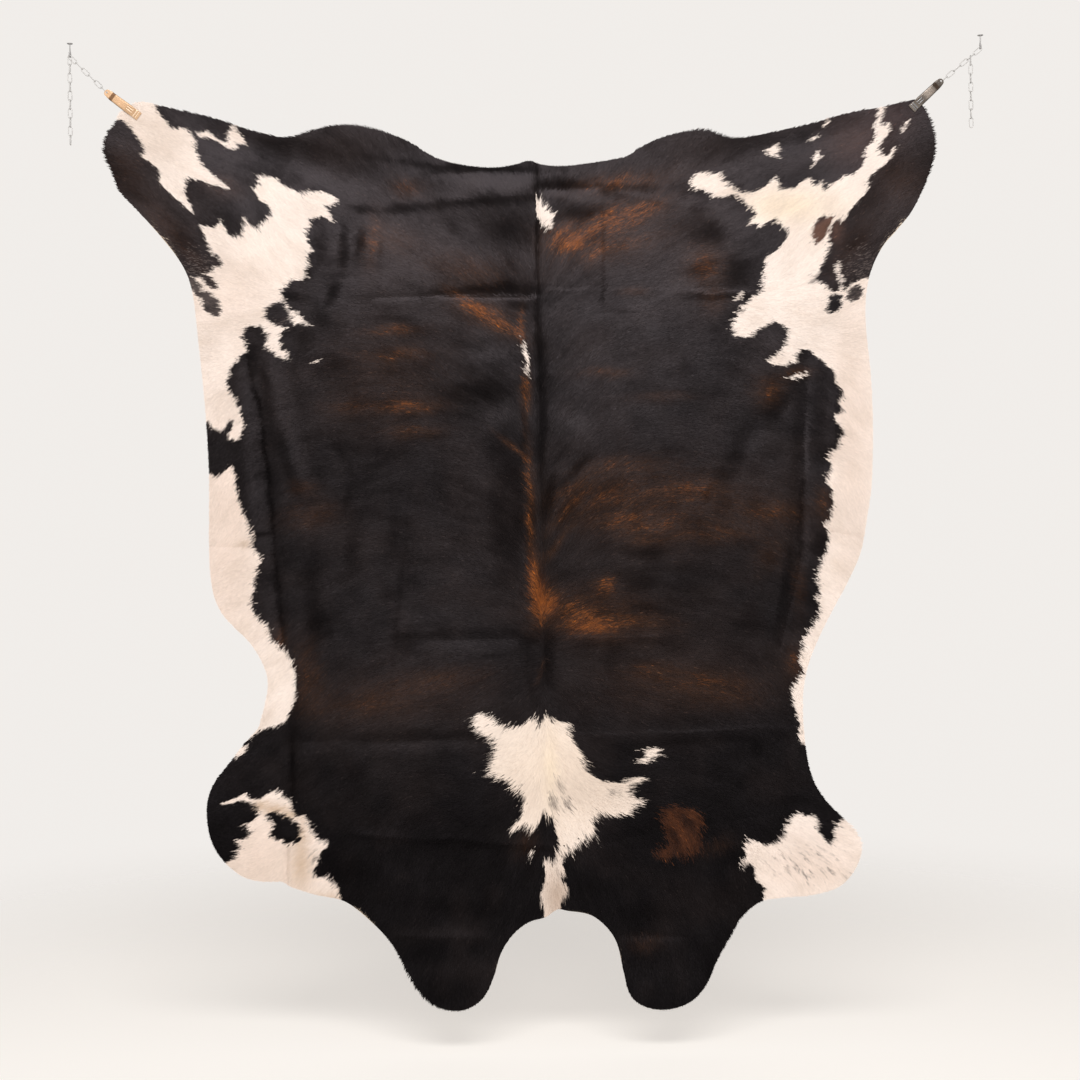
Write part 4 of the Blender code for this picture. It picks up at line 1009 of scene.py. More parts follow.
def relief(across, drop):
    """Return how far the hide stands forward of its plane. All in millimetres."""
    height = np.zeros_like(across)
    for fold in FOLDS:
        along, beside = line_place(fold, across, drop)
        height += fold.depth * end_taper(along, FOLD_END_FADE) * np.exp(-(beside / fold.half_width) ** 2)
    for swell in SWELLS:
        spread = ((across - swell.across) / swell.reach_across) ** 2
        height += swell.depth * np.exp(-spread - ((drop - swell.drop) / swell.reach_drop) ** 2)
    wander = noise(CREASE_WANDER, across, drop)
    for crease in CREASES:
        along, beside = line_place(crease, across, drop)
        beside = beside + wander
        sides = np.abs(beside) / np.where(beside > 0, crease.above, crease.below)
        height += crease.depth * end_taper(along, CREASE_END_FADE) * np.exp(-sides ** CREASE_SHARPNESS)
    height += sum(noise(wave, across, drop) for wave in HIDE_WAVES)
    reach = np.min([np.hypot(across - x, drop - z) for x, z in grip_places()], axis=0)
    flat, fade = GRIP_FLAT_RADIUS / MM, GRIP_FADE_RADIUS / MM
    return height * ease((reach - flat) / (fade - flat))


def facing(across, drop):
    """Return the hide's smooth unit normal at each place, towards its hair side."""
    step = SLOPE_STEP
    slope_x = (relief(across + step, drop) - relief(across - step, drop)) / (2 * step)
    slope_z = (relief(across, drop + step) - relief(across, drop - step)) / (2 * step)
    normal = np.stack((-slope_x, -np.ones_like(across), slope_z), axis=-1)
    return normal / np.linalg.norm(normal, axis=1, keepdims=True)


def on_hide(across, drop, proud=0.0):
    """Return points in metres at places on the hide, each this far forward of its middle."""
    y = HIDE_PLANE_Y - (relief(across, drop) + proud) * MM
    return np.stack((across * MM, y, -drop * MM), axis=-1)


# The outline.

def smooth_loop(points, step):
    """Sample a closed Catmull-Rom curve through the points at about the given step."""
    samples = []
    count = len(points)
    for index in range(count):
        before, start, end, after = (points[(index + shift) % count] for shift in (-1, 0, 1, 2))
        pieces = max(1, round(float(np.linalg.norm(end - start)) / step))
        t = np.arange(pieces)[:, None] / pieces
        samples.append(0.5 * (
            2 * start + (end - before) * t
            + (2 * before - 5 * start + 4 * end - after) * t ** 2
            + (3 * start - before - 3 * end + after) * t ** 3))
    return np.vstack(samples)


def hide_loop():
    """Return the hide's outline in millimetres."""
    places = [place for stretch in OUTLINE_MM.values() for place in stretch]
    return smooth_loop(np.array(places, float), RIM_STEP)


def inside_loop(across, drop, loop):
    """Return which places lie inside a closed loop."""
    inside = np.zeros(len(across), bool)
    low, high = loop.min(axis=0), loop.max(axis=0)
    near = (across > low[0]) & (across < high[0]) & (drop > low[1]) & (drop < high[1])
    x, z = across[near], drop[near]
    crossings = np.zeros(len(x), int)
    for (x0, z0), (x1, z1) in zip(loop, np.roll(loop, -1, axis=0)):
        if z0 != z1:
            crosses = (z0 > z) != (z1 > z)
            crossings += crosses & (x < (x1 - x0) * (z - z0) / (z1 - z0) + x0)
    inside[near] = crossings % 2 == 1
    return inside


class RimField:
    """How far each place lies inside the outline, kept on a grid. Negative is outside."""

    STEP = 8.0
    MARGIN = 40.0

    def __init__(self, loop):
        self.low = loop.min(axis=0) - self.MARGIN
        size = ((loop.max(axis=0) + self.MARGIN - self.low) / self.STEP).astype(int) + 2
        across, drop = np.meshgrid(*(self.low[k] + self.STEP * np.arange(size[k]) for k in (0, 1)))
        across, drop = across.ravel(), drop.ravel()
        nearest = np.full(len(across), np.inf)
        for start, end in zip(loop, np.roll(loop, -1, axis=0)):
            run = end - start
            along = ((across - start[0]) * run[0] + (drop - start[1]) * run[1]) / (run @ run)
            along = np.clip(along, 0, 1)
            away = np.hypot(across - start[0] - along * run[0], drop - start[1] - along * run[1])
            np.minimum(nearest, away, out=nearest)
        sign = np.where(inside_loop(across, drop, loop), 1.0, -1.0)
        self.grid = (nearest * sign).reshape(size[1], size[0])

    def __call__(self, across, drop):
        u = (across - self.low[0]) / self.STEP
        v = (drop - self.low[1]) / self.STEP
        column = np.clip(np.floor(u).astype(int), 0, self.grid.shape[1] - 2)
        row = np.clip(np.floor(v).astype(int), 0, self.grid.shape[0] - 2)
        right, lower = u - column, v - row
        upper = self.grid[row, column] * (1 - right) + self.grid[row, column + 1] * right
        under = self.grid[row + 1, column] * (1 - right) + self.grid[row + 1, column + 1] * right
        return upper * (1 - lower) + under * lower


# The markings.

def mix(colours, other, share):
    """Mix each colour towards another one by a share."""
    return colours + (np.array(other) - colours) * np.asarray(share)[:, None]


def in_any(across, drop, marks):
    """Return which places lie inside any of the charted marks."""
    inside = np.zeros(len(across), bool)
    for mark in marks.values():
        inside |= inside_loop(across, drop, np.array(mark, float))
    return inside


def soft_area(area, across, drop):
    """Return how strongly a soft area covers each place, up to its strength."""
    spread = ((across - area.across) / area.reach_across) ** 2
    return area.strength * np.exp(-spread - ((drop - area.drop) / area.reach_drop) ** 2)


def turned_place(area, across, drop):
    """Return each place along and across an area's own tilted line, in millimetres."""
    tilt = math.radians(area.tilt_deg)
    x, z = across - area.across, area.drop - drop
    return x * math.cos(tilt) + z * math.sin(tilt), z * math.cos(tilt) - x * math.sin(tilt)


def painted_low_shade(drop):
    """Return how far each drop lies into the lower part of the hide, where the black is painted darker as
    painted shade, from 0 to 1.
    """
    return ease((drop - PAINTED_LOW_SHADE_DROP) / PAINTED_LOW_SHADE_REACH)


def sheen(across, drop, flow):
    """Return how much more or less the coat shines at each place, within its limits."""
    ragged = streaks(SHEEN_RAGGED, across, drop, flow)
    x = across + ragged + noise(SHEEN_WANDER[0], across, drop)
    z = drop + ragged + noise(SHEEN_WANDER[1], across, drop)
    total = noise(SHEEN_CLOUDS, across, drop) + streaks(SHEEN_STREAKS, across, drop, flow)
    for patches in SHEENS.values():
        for patch in map(Sheen._make, patches):
            along, beside = turned_place(patch, x, z)
            spread = (along / patch.reach_along) ** 2 + (beside / patch.reach_wide) ** 2
            total += patch.strength * np.exp(-spread ** SHEEN_SHARPNESS)
    dull_gain = DULL_GAIN * (1 - DULL_FADE * painted_low_shade(drop))
    return np.clip(np.where(total < 0, dull_gain, GLEAM_GAIN) * total, *SHEEN_LIMITS)


def brindle_share(across, drop, flow):
    """Return how brown the black coat is, from 0 to 1, in fine streaks."""
    fine = streaks(BRINDLE_FINE, across, drop, flow)
    broad = streaks(BRINDLE_BROAD, across, drop, flow)
    x = across + noise(BRINDLE_WANDER[0], across, drop) + BRINDLE_RAGGED * fine
    z = drop + noise(BRINDLE_WANDER[1], across, drop) + BRINDLE_RAGGED * broad
    share = np.zeros(len(across))
    for area in BRINDLES:
        along, beside = turned_place(area, x, z)
        cover = np.exp(-(along / area.reach_along) ** 2 - (beside / area.reach_wide) ** 2)
        share = 1 - (1 - share) * (1 - area.strength * cover)
    return np.clip(share * (BRINDLE_LEVEL + BRINDLE_FINE_SHARE * fine + BRINDLE_BROAD_SHARE * broad), 0, 1)


def dark_coat(across, drop, flow, rng):
    """Return the colour of the black part of the coat."""
    colours = np.tile(COLOURS["black"], (len(across), 1))
    # Painted shade: the black is darker towards the rump, and its soft clouds fade there.
    deep = painted_low_shade(drop)
    colours *= (1 - PAINTED_LOW_SHADE_DEPTH * deep)[:, None]
    broad_cloud, small_cloud = (noise(cloud, across, drop) for cloud in SOFT_BLACK_CLOUDS)
    share = SOFT_BLACK_LEVEL + broad_cloud + small_cloud - SOFT_BLACK_FADE * deep
    colours = mix(colours, COLOURS["soft black"], np.clip(share, 0, 1))
    for tint in DARK_TINTS:
        colours = mix(colours, COLOURS[tint.colour], soft_area(tint, across, drop))
    brown = brindle_share(across, drop, flow) * (1 + BRINDLE_HAIRS * rng.normal(0, 1, len(across)))
    colours = mix(colours, COLOURS["brindle"], np.clip(BRINDLE_GAIN * brown, 0, 1))
    bright = np.clip(BRIGHT_BRINDLE_GAIN * brown - BRIGHT_BRINDLE_START, 0, BRIGHT_BRINDLE_MOST)
    colours = mix(colours, COLOURS["bright brindle"], bright)
    for area in GLOWS:
        hairs = np.clip(rng.normal(*GLOW_HAIRS, len(across)), 0, GLOW_MOST)
        share = soft_area(area, across, drop) * hairs
        colours = mix(colours, COLOURS["gold"], np.clip(share, 0, 1))
    return colours


def white_coat(across, drop, flow, rng):
    """Return the colour of the white part of the coat."""
    colours = np.tile(COLOURS["white"], (len(across), 1))
    for tint in WHITE_TINTS:
        colours = mix(colours, COLOURS[tint.colour], soft_area(tint, across, drop))
    fine = streaks(BEIGE_STREAKS, across, drop, flow)
    cloud = noise(BEIGE_CLOUDS, across, drop) + streaks(BEIGE_DRIFTS, across, drop, flow)
    beige = np.clip(BEIGE_LEVEL + BEIGE_CLOUD_SHARE * cloud + fine, 0, BEIGE_MOST)
    colours = mix(colours, COLOURS["beige"], beige)
    lumps = 0.5 + streaks(FRECKLE_LUMPS, across, drop, flow)
    lumps += FRECKLE_STRAY * rng.normal(0, 1, len(across))
    for area in FRECKLES:
        share = soft_area(area, across, drop)
        dark = ease((FRECKLE_GAIN * share - np.maximum(lumps, FRECKLE_LEAST)) / FRECKLE_FADE)
        dark = FRECKLE_DEPTH * dark
        dark *= rng.uniform(*FRECKLE_HAIRS, len(across))
        colours = mix(colours, COLOURS["freckle"], dark)
    return colours


def coat_colour(across, drop, flow, rng):
    """Return the coat's colour at each place, and which places are white."""
    x, z = across.copy(), drop.copy()
    for sideways, downwards in MARK_WANDER:
        x += noise(sideways, across, drop)
        z += noise(downwards, across, drop)
    white = in_any(x, z, WHITE_MARKS) & ~in_any(x, z, DARK_MARKS)
    colours = dark_coat(across, drop, flow, rng)
    # Painted sheen and painted shade: the black coat's colour is lightened or darkened with its sheen.
    colours *= (1 + SHEEN_PAINTED_SHADE * sheen(across, drop, flow))[:, None]
    colours[white] = white_coat(across[white], drop[white], (flow[0][white], flow[1][white]), rng)
    tone = BROWN_TONE + BROWN_HAIRS * rng.normal(0, 1, len(x)) + streaks(BROWN_STREAKS, across, drop, flow)
    tone = np.clip(tone, *BROWN_TONE_LIMITS)[:, None]
    stray = rng.normal(0, 1, (2, len(x)))
    for mark in BROWN_MARKS.values():
        outline = np.array(mark.outline, float)
        inside = inside_loop(x + mark.stray * stray[0], z + mark.stray * stray[1], outline)
        colours[inside] = np.array(COLOURS[mark.colour]) * tone[inside]
    for spot in SPOTS:
        along, beside = turned_place(spot, x, z)
        covered = (along / spot.half_long) ** 2 + (beside / spot.half_wide) ** 2 < 1
        colours[covered] = np.array(COLOURS[spot.colour]) * tone[covered]
        white &= ~covered
    return colours, white


# The lie of the hair.

def spine_across(drop):
    """Return where the spine lies at a drop, in millimetres."""
    return SPINE_TOP[0] + (drop - SPINE_TOP[1]) * SPINE_LEAN


def lie_of_hair(across, drop):
    """Return the hair's unit direction (across, down) and its length at each place."""
    beside = across - spine_across(drop)
    out = np.abs(beside)
    total = np.zeros(len(across))
    outwards, down, length = total.copy(), total.copy(), total.copy()
    for lie in LIES:
        away = (out - lie.out) ** 2 + (drop - lie.drop) ** 2 + LIE_REACH ** 2
        weight = away ** LIE_FALLOFF
        scale = 1 / math.hypot(lie.outwards, lie.down)
        total += weight
        outwards += weight * lie.outwards * scale
        down += weight * lie.down * scale
        length += weight * lie.length
    pinch = PARTING_PINCH * np.exp(-((drop - PARTING_DROP) / PARTING_REACH) ** 2)
    outwards *= ease(out / (PARTING_WIDE - pinch))
    size = np.maximum(np.hypot(outwards, down), LIE_LEAST * total)
    turn = sum(noise(kind, across, drop) for kind in LIE_TURNS)
    x, z = rotated(np.sign(beside) * outwards / size, down / size, turn)
    return x, z, length / total


# Meshes.

def mesh_object(name, corners, faces, material):
    """Make a mesh object from arrays of corners and of equal-sided faces."""
    mesh = bpy.data.meshes.new(name)
    loops = np.concatenate([part.ravel() for part in faces]).astype(np.int32)
    sizes = np.concatenate([np.full(len(part), part.shape[1]) for part in faces])
    starts = np.concatenate(([0], np.cumsum(sizes)[:-1])).astype(np.int32)
    mesh.vertices.add(len(corners))
    mesh.vertices.foreach_set("co", np.asarray(corners, np.float32).ravel())
    mesh.loops.add(len(loops))
    mesh.loops.foreach_set("vertex_index", loops)
    mesh.polygons.add(len(starts))
    mesh.polygons.foreach_set("loop_start", starts)
    mesh.update(calc_edges=True)
    mesh.shade_smooth()
    mesh.materials.append(material)
    piece = bpy.data.objects.new(name, mesh)
    bpy.context.scene.collection.objects.link(piece)
    return piece


def paint(piece, colours):
    """Store a colour for each of a piece's corners."""
    layer = piece.data.color_attributes.new(name="coat", type="FLOAT_COLOR", domain="POINT")
    rgba = np.ones((len(colours), 4), np.float32)
    rgba[:, :3] = colours
    layer.data.foreach_set("color", rgba.ravel())


def store_uv(piece, corner_uv):
    """Store a UV map from one place for each face corner."""
    layer = piece.data.uv_layers.new(name="OFBake")
    layer.data.foreach_set("uv", np.asarray(corner_uv, np.float32).ravel())


def lattice(low, high, step):
    """Return a triangular lattice of places that fills a box."""
    row_step = step * math.sqrt(3) / 2
    rows = np.arange(int((high[1] - low[1]) / row_step) + 1)
    columns = np.arange(int((high[0] - low[0]) / step) + 1)
    column, row = np.meshgrid(columns, rows)
    return (low[0] + (column + 0.5 * (row % 2)) * step).ravel(), (low[1] + row * row_step).ravel()


def near_crease(across, drop):
    """Return which places lie beside a fine crease."""
    near = np.zeros(len(across), bool)
    for crease in CREASES:
        along, beside = line_place(crease, across, drop)
        within = (along > -CREASE_MARGIN) & (along < 1 + CREASE_MARGIN)
        near |= within & (beside < CREASE_REACH * crease.above) & (-beside < CREASE_REACH * crease.below)
    return near


def leather_places(loop, rim):
    """Return the places that divide the leather: its rim, an even lattice, finer by creases."""
    places = [loop]
    low, high = loop.min(axis=0), loop.max(axis=0)
    for step, by_crease in ((LATTICE_STEP, False), (CREASE_LATTICE_STEP, True)):
        across, drop = lattice(low, high, step)
        keep = (rim(across, drop) > RIM_CLEARANCE * step) & (near_crease(across, drop) == by_crease)
        places.append(np.stack((across[keep], drop[keep]), axis=1))
    return np.vstack(places)


def hair_facing(across, drop, flow):
    """Return the coat's smooth normal at each place: the hide's, tilted with its hair and sheen."""
    normal = facing(across, drop)
    rise = math.tan(BLADE_PITCH)
    normal -= rise * np.stack((flow[0], np.zeros(len(across)), -flow[1]), axis=1)
    normal[:, 2] += math.tan(SHEEN_TILT) * sheen(across, drop, flow)
    return normal


def divide_hide(loop, rim):
    """Return the leather's places, its hair side's triangles and the edges round its rim."""
    places = [Vector(place) for place in leather_places(loop, rim)]
    filled = delaunay_2d_cdt(places, [], [list(range(len(loop)))], FILL_INSIDE, FILL_TOLERANCE)
    flat = np.array([tuple(place) for place in filled[0]])
    front = np.array(filled[2])
    one, two = flat[front[:, 1]] - flat[front[:, 0]], flat[front[:, 2]] - flat[front[:, 0]]
    turned = np.cross(one, two) > 0
    front[turned] = front[turned][:, ::-1]
    edges = np.vstack([front[:, [k, (k + 1) % 3]] for k in range(3)])
    keys = edges[:, 0].astype(np.int64) * len(flat) + edges[:, 1]
    back_keys = edges[:, 1].astype(np.int64) * len(flat) + edges[:, 0]
    return flat, front, edges[~np.isin(keys, back_keys)]


def leather_colours(across, drop, rim, flow, rng):
    """Return the leather's colours: the coat's own with a little painted shade on the hair side, barer at
    the cut edge.
    """
    skin = SKIN_PAINTED_SHADE * coat_colour(across, drop, flow, rng)[0]
    bare = ease(-overhang(across, drop) / BARE_EDGE_FADE)
    skin = mix(skin, COLOURS["cut edge"], bare * ease(BARE_EDGE_REACH - rim(across, drop) / BARE_EDGE_STEP))
    return np.vstack((skin, np.tile(COLOURS["beige"], (len(across), 1))))


def leather_normals(leather, corners, front, band, hair_normal, hide_normal):
    """Return the normal at each of the leather's face corners, square to the cut edge there."""
    run = corners[band[:, 0]] - corners[band[:, 1]]
    edge_normal = np.cross(run, corners[band[:, 2]] - corners[band[:, 1]])
    made = np.empty(len(leather.data.polygons) * 3, np.float32)
    leather.data.polygons.foreach_get("normal", made)
    made = made.reshape(-1, 3)[2 * len(front):]
    edge_normal *= np.sign((edge_normal * made).sum(axis=1))[:, None]
    normals = np.vstack((
        hair_normal[front].reshape(-1, 3), -hide_normal[front[:, ::-1]].reshape(-1, 3),
        np.repeat(edge_normal, 4, axis=0)))
    return normals / np.linalg.norm(normals, axis=1, keepdims=True)


def leather_uv(flat, front, edge_count):
    """Return the UV place of each of the leather's face corners."""
    low, high = flat.min(axis=0), flat.max(axis=0)
    unit = (flat - low) / (high - low).max()
    side = np.stack((UV_MARGIN + UV_SIDE_WIDTH * unit[:, 0], UV_MARGIN + UV_HEIGHT * unit[:, 1]), axis=1)
    back = side + (UV_BACK_SHIFT, 0)
    start = np.arange(edge_count) / edge_count
    end = start + UV_EDGE_FILL / edge_count
    inner, outer = UV_EDGE_COLUMNS
    edge = np.stack([
        np.stack((np.full(edge_count, u), UV_MARGIN + UV_HEIGHT * v), axis=1)
        for u, v in ((inner, start), (inner, end), (outer, end), (outer, start))], axis=1)
    sides = side[front].reshape(-1, 2), back[front[:, ::-1]].reshape(-1, 2)
    return np.vstack((*sides, edge.reshape(-1, 2)))


def build_leather(loop, rim, rng, materials):
    """Build the hide's leather: hair side, flesh side and the cut edge, as one closed sheet."""
    flat, front, rim_edges = divide_hide(loop, rim)
    across, drop = flat[:, 0], flat[:, 1]
    corners = np.vstack((on_hide(across, drop, LEATHER_FRONT), on_hide(across, drop, -LEATHER_BACK)))
    back = front[:, ::-1] + len(flat)
    start, end = rim_edges[:, 0], rim_edges[:, 1]
    band = np.stack((end, start, start + len(flat), end + len(flat)), axis=1)
    leather = mesh_object("leather", corners, [front, back, band], materials["skin"])
    leather.data.materials.append(materials["flesh"])
    leather.data.materials.append(materials["cut edge"])
    kinds = np.concatenate((np.zeros(len(front)), np.ones(len(back)), np.full(len(band), 2)))
    leather.data.polygons.foreach_set("material_index", kinds.astype(np.int32))
    flow = lie_of_hair(across, drop)
    paint(leather, leather_colours(across, drop, rim, flow, rng))
    hair_normal, hide_normal = hair_facing(across, drop, flow), facing(across, drop)
    leather.data.normals_split_custom_set(
        leather_normals(leather, corners, front, band, hair_normal, hide_normal))
    store_uv(leather, leather_uv(flat, front, len(band)))
    return leather


# The coat.

Blades = namedtuple("Blades", "across drop tip_x tip_z run_x run_z size share")


def overhang(across, drop):
    """Return how far the hair may reach past the cut edge at each place."""
    reach = np.full(len(across), EDGE_OVERHANG)
    for fringe in FRINGES:
        near = np.exp(-((across - fringe.across) ** 2 + (drop - fringe.drop) ** 2) / fringe.reach ** 2)
        reach += (fringe.overhang - EDGE_OVERHANG) * near
    return reach


def under_jaws(across, drop):
    """Return which places the jaws of the clips cover."""
    covered = np.zeros(len(across), bool)
    for clip in map(clip_frame, HANGINGS.values()):
        x, z = across * MM - clip.tail.x, -drop * MM - clip.tail.z
        along = (x * clip.along.x + z * clip.along.z) / MM
        beside = (x * clip.across.x + z * clip.across.z) / MM
        inside = (along > JAW_COVER_START) & (along < CLIP_LENGTH / MM + JAW_MARGIN)
        covered |= inside & (np.abs(beside) < CLIP_JAW_HALF_WIDTH / MM + JAW_MARGIN)
    return covered


def clump_middles(across, drop):
    """Return the middle of the clump that each place belongs to: the nearest of scattered ones."""
    scatter = np.random.default_rng(CLUMP_SEED).random((NOISE_CELLS, NOISE_CELLS, 2))
    column, row = np.floor(across / CLUMP_SIZE).astype(int), np.floor(drop / CLUMP_SIZE).astype(int)
    nearest = np.full(len(across), np.inf)
    middle_x, middle_z = across.copy(), drop.copy()
    for right in (-1, 0, 1):
        for lower in (-1, 0, 1):
            shift = scatter[(row + lower) % NOISE_CELLS, (column + right) % NOISE_CELLS]
            x = (column + right + shift[:, 0]) * CLUMP_SIZE
            z = (row + lower + shift[:, 1]) * CLUMP_SIZE
            away = (x - across) ** 2 + (z - drop) ** 2
            nearer = away < nearest
            nearest[nearer], middle_x[nearer], middle_z[nearer] = away[nearer], x[nearer], z[nearer]
    return middle_x, middle_z


def scatter_roots(span, loop, rim, rng):
    """Return the places where a band's blades stand, scattered evenly within the cut edge."""
    low, high = loop.min(axis=0), loop.max(axis=0)
    across, drop = lattice((low[0], span[0]), (high[0], min(span[1], high[1])), BLADE_STEP)
    across += rng.uniform(-0.5, 0.5, len(across)) * BLADE_STEP
    drop += rng.uniform(-0.5, 0.5, len(drop)) * BLADE_STEP
    keep = rim(across, drop) > ROOT_CLEARANCE
    return across[keep], drop[keep]


def lay_blades(across, drop, rim, rng):
    """Lay a blade from each root along the hair, cut off where it would pass its fringe."""
    count = len(across)
    flow_x, flow_z, length = lie_of_hair(across, drop)
    flow_x, flow_z = rotated(flow_x, flow_z, rng.normal(0, BLADE_TURN_SPREAD, count))
    length = length * (1 + rng.uniform(-BLADE_LENGTH_SPREAD, BLADE_LENGTH_SPREAD, count))
    clump_x, clump_z = clump_middles(across, drop)
    tip_x = across + flow_x * length + CLUMP_PULL * (clump_x - across)
    tip_z = drop + flow_z * length + CLUMP_PULL * (clump_z - drop)

    depth, tip_depth = rim(across, drop), rim(tip_x, tip_z)
    limit = -overhang(tip_x, tip_z) * rng.uniform(*RAGGED_EDGE, count)
    cut = (depth - limit) / np.maximum(depth - tip_depth, LEAST_RUN)
    share = np.clip(np.where(tip_depth < limit, cut, 1.0), 0.0, 1.0)
    tip_x, tip_z = across + (tip_x - across) * share, drop + (tip_z - drop) * share
    keep = (share > LEAST_SHARE) & ~under_jaws(across, drop) & ~under_jaws(tip_x, tip_z)
    across, drop, tip_x, tip_z, share = (part[keep] for part in (across, drop, tip_x, tip_z, share))
    run_x, run_z = tip_x - across, tip_z - drop
    return Blades(across, drop, tip_x, tip_z, run_x, run_z, np.hypot(run_x, run_z), share)


def blade_middles(blades):
    """Return where each blade is widest."""
    return blades.across + blades.run_x * BLADE_WIDEST, blades.drop + blades.run_z * BLADE_WIDEST


def blade_corners(blades, rng):
    """Return each blade's corners in metres: its root, its two sides and its tip."""
    count = len(blades.across)
    width = rng.uniform(*BLADE_WIDTH_SPREAD, count)
    half = BLADE_HALF_WIDTH * width * np.clip(blades.size / FULL_WIDTH_LENGTH, LEAST_WIDTH, 1.0)
    side_x, side_z = -blades.run_z / blades.size * half, blades.run_x / blades.size * half
    x, z = blade_middles(blades)
    standing = np.clip(blades.share, LEAST_LIFT, 1)
    lift = rng.uniform(*BLADE_LIFT, count) * standing
    tip_lift = rng.uniform(*BLADE_TIP_LIFT, count) * standing
    roll = rng.normal(0, BLADE_ROLL, count) * half
    root = on_hide(blades.across, blades.drop, LEATHER_FRONT - BLADE_ROOT_DEPTH)
    one = on_hide(x + side_x, z + side_z, LEATHER_FRONT + lift + roll)
    two = on_hide(x - side_x, z - side_z, LEATHER_FRONT + lift - roll)
    tip = on_hide(blades.tip_x, blades.tip_z, LEATHER_FRONT + tip_lift)
    return np.stack((root, one, two, tip), axis=1).reshape(-1, 3)


def blade_colours(blades, flow, rng):
    """Return the colour of each blade's corners, from the markings near its middle, with painted shade at
    its root and painted light at its tip.
    """
    count = len(blades.across)
    tuft = streaks(TUFTS, blades.across, blades.drop, flow) + TUFT_STRAY * rng.normal(0, 1, count)
    place = 0.5 + COLOUR_REACH * tuft
    near, far = place - COLOUR_SPAN, place + COLOUR_SPAN
    root_colours, white_root = coat_colour(
        blades.across + near * blades.run_x, blades.drop + near * blades.run_z, flow, rng)
    tip_colours, white_tip = coat_colour(
        blades.across + far * blades.run_x, blades.drop + far * blades.run_z, flow, rng)
    white = white_root | white_tip
    shade = 1 + rng.normal(0, 1, count) * np.where(white, WHITE_SHADE_SPREAD, DARK_SHADE_SPREAD)
    shade *= np.where(~white & (rng.random(count) < GREY_HAIRS), GREY_SHADE, 1.0)
    for area in LIGHT_HAIRS:
        light = ~white & (rng.random(count) < soft_area(area, blades.across, blades.drop))
        root_colours[light] = tip_colours[light] = COLOURS["light hair"]
    shade = np.clip(shade, *SHADE_LIMITS)[:, None]
    middle = (root_colours + tip_colours) / 2
    # Painted shade at the root, painted light at the tip.
    colours = np.stack((ROOT_PAINTED_SHADE * root_colours, middle, middle, TIP_PAINTED_LIGHT * tip_colours), axis=1)
    return (colours * shade[:, :, None]).reshape(-1, 3)


def blade_normals(blades, flow, rng):
    """Return each blade's normal: the coat's own, pitched and tilted a little at random."""
    count = len(blades.across)
    none = np.zeros(count)
    normal = hair_facing(*blade_middles(blades), flow)
    rise = np.tan(rng.normal(0, BLADE_PITCH_SPREAD, count))[:, None]
    normal -= rise * np.stack((flow[0], none, -flow[1]), axis=1)
    tilt = rng.normal(0, BLADE_TILT_SPREAD, count)[:, None]
    normal += tilt * np.stack((flow[1], none, flow[0]), axis=1)
    return normal


def blade_uv(count):
    """Return the UV place of each face corner, with a cell of the map for each blade."""
    grid = math.ceil(math.sqrt(count))
    cell = np.stack((np.arange(count) % grid, np.arange(count) // grid), axis=1)
    uv = (cell[:, None, :] + np.array(BLADE_UV)[None, :, :]) / grid
    return uv[:, np.array(BLADE_FACES).ravel()].reshape(-1, 2)


def build_coat(name, span, loop, rim, rng, material):
    """Build one band of the coat as thin blades, each bent over its middle."""
    blades = lay_blades(*scatter_roots(span, loop, rim, rng), rim, rng)
    count = len(blades.across)
    corners = blade_corners(blades, rng)
    first = np.arange(count)[:, None] * 4
    faces = np.stack([first + face for face in BLADE_FACES], axis=1).reshape(-1, 3)
    coat = mesh_object(name, corners, [faces], material)
    flow = (blades.run_x / blades.size, blades.run_z / blades.size)
    paint(coat, blade_colours(blades, flow, rng))
    normal = blade_normals(blades, flow, rng)
    coat.data.normals_split_custom_set_from_vertices(np.repeat(normal, 4, axis=0))
    store_uv(coat, blade_uv(count))
    return coat


# Where the chains and clips lie, worked out from the hooks down as in the solids.

ClipFrame = namedtuple("ClipFrame", "tail along across grip")


def slope_direction(hanging, degrees):
    """Return the unit direction that runs inwards and down at a slope."""
    angle = math.radians(degrees)
    return Vector((-hanging.side * math.cos(angle), 0, -math.sin(angle)))


def hook_seat(hanging):
    """Return the middle of the hook's wire at the lowest point of its bend."""
    return Vector((hanging.side * HOOK_SPAN / 2, 0, -HOOK_DROP))


def run_link_centre(hanging, index):
    """Return the centre of one link of the run from hook to clip."""
    down = slope_direction(hanging, hanging.chain_slope_deg)
    first = LINK_LENGTH / 2 - (HOOK_WIRE_RADIUS + LINK_WIRE_RADIUS + FIT_GAP)
    return hook_seat(hanging) + down * (first + index * LINK_PITCH)


def clip_frame(hanging):
    """Return a clip's tail end, its direction to the jaw, its width direction and its grip."""
    pull = slope_direction(hanging, hanging.chain_slope_deg)
    seat = run_link_centre(hanging, RUN_LINKS - 1) + pull * LINK_LENGTH / 2
    hole = seat + pull * (CLIP_HOLE_RADIUS - LINK_WIRE_RADIUS - FIT_GAP)
    along = slope_direction(hanging, hanging.clip_slope_deg)
    tail = hole - along * CLIP_HOLE_PLACE
    grip = tail + along * CLIP_GRIP_PLACE
    return ClipFrame(tail, along, Vector((along.z, 0, -along.x)), Vector((grip.x, grip.z)))


# The chains and hooks.

LINK_END_STEPS = 9
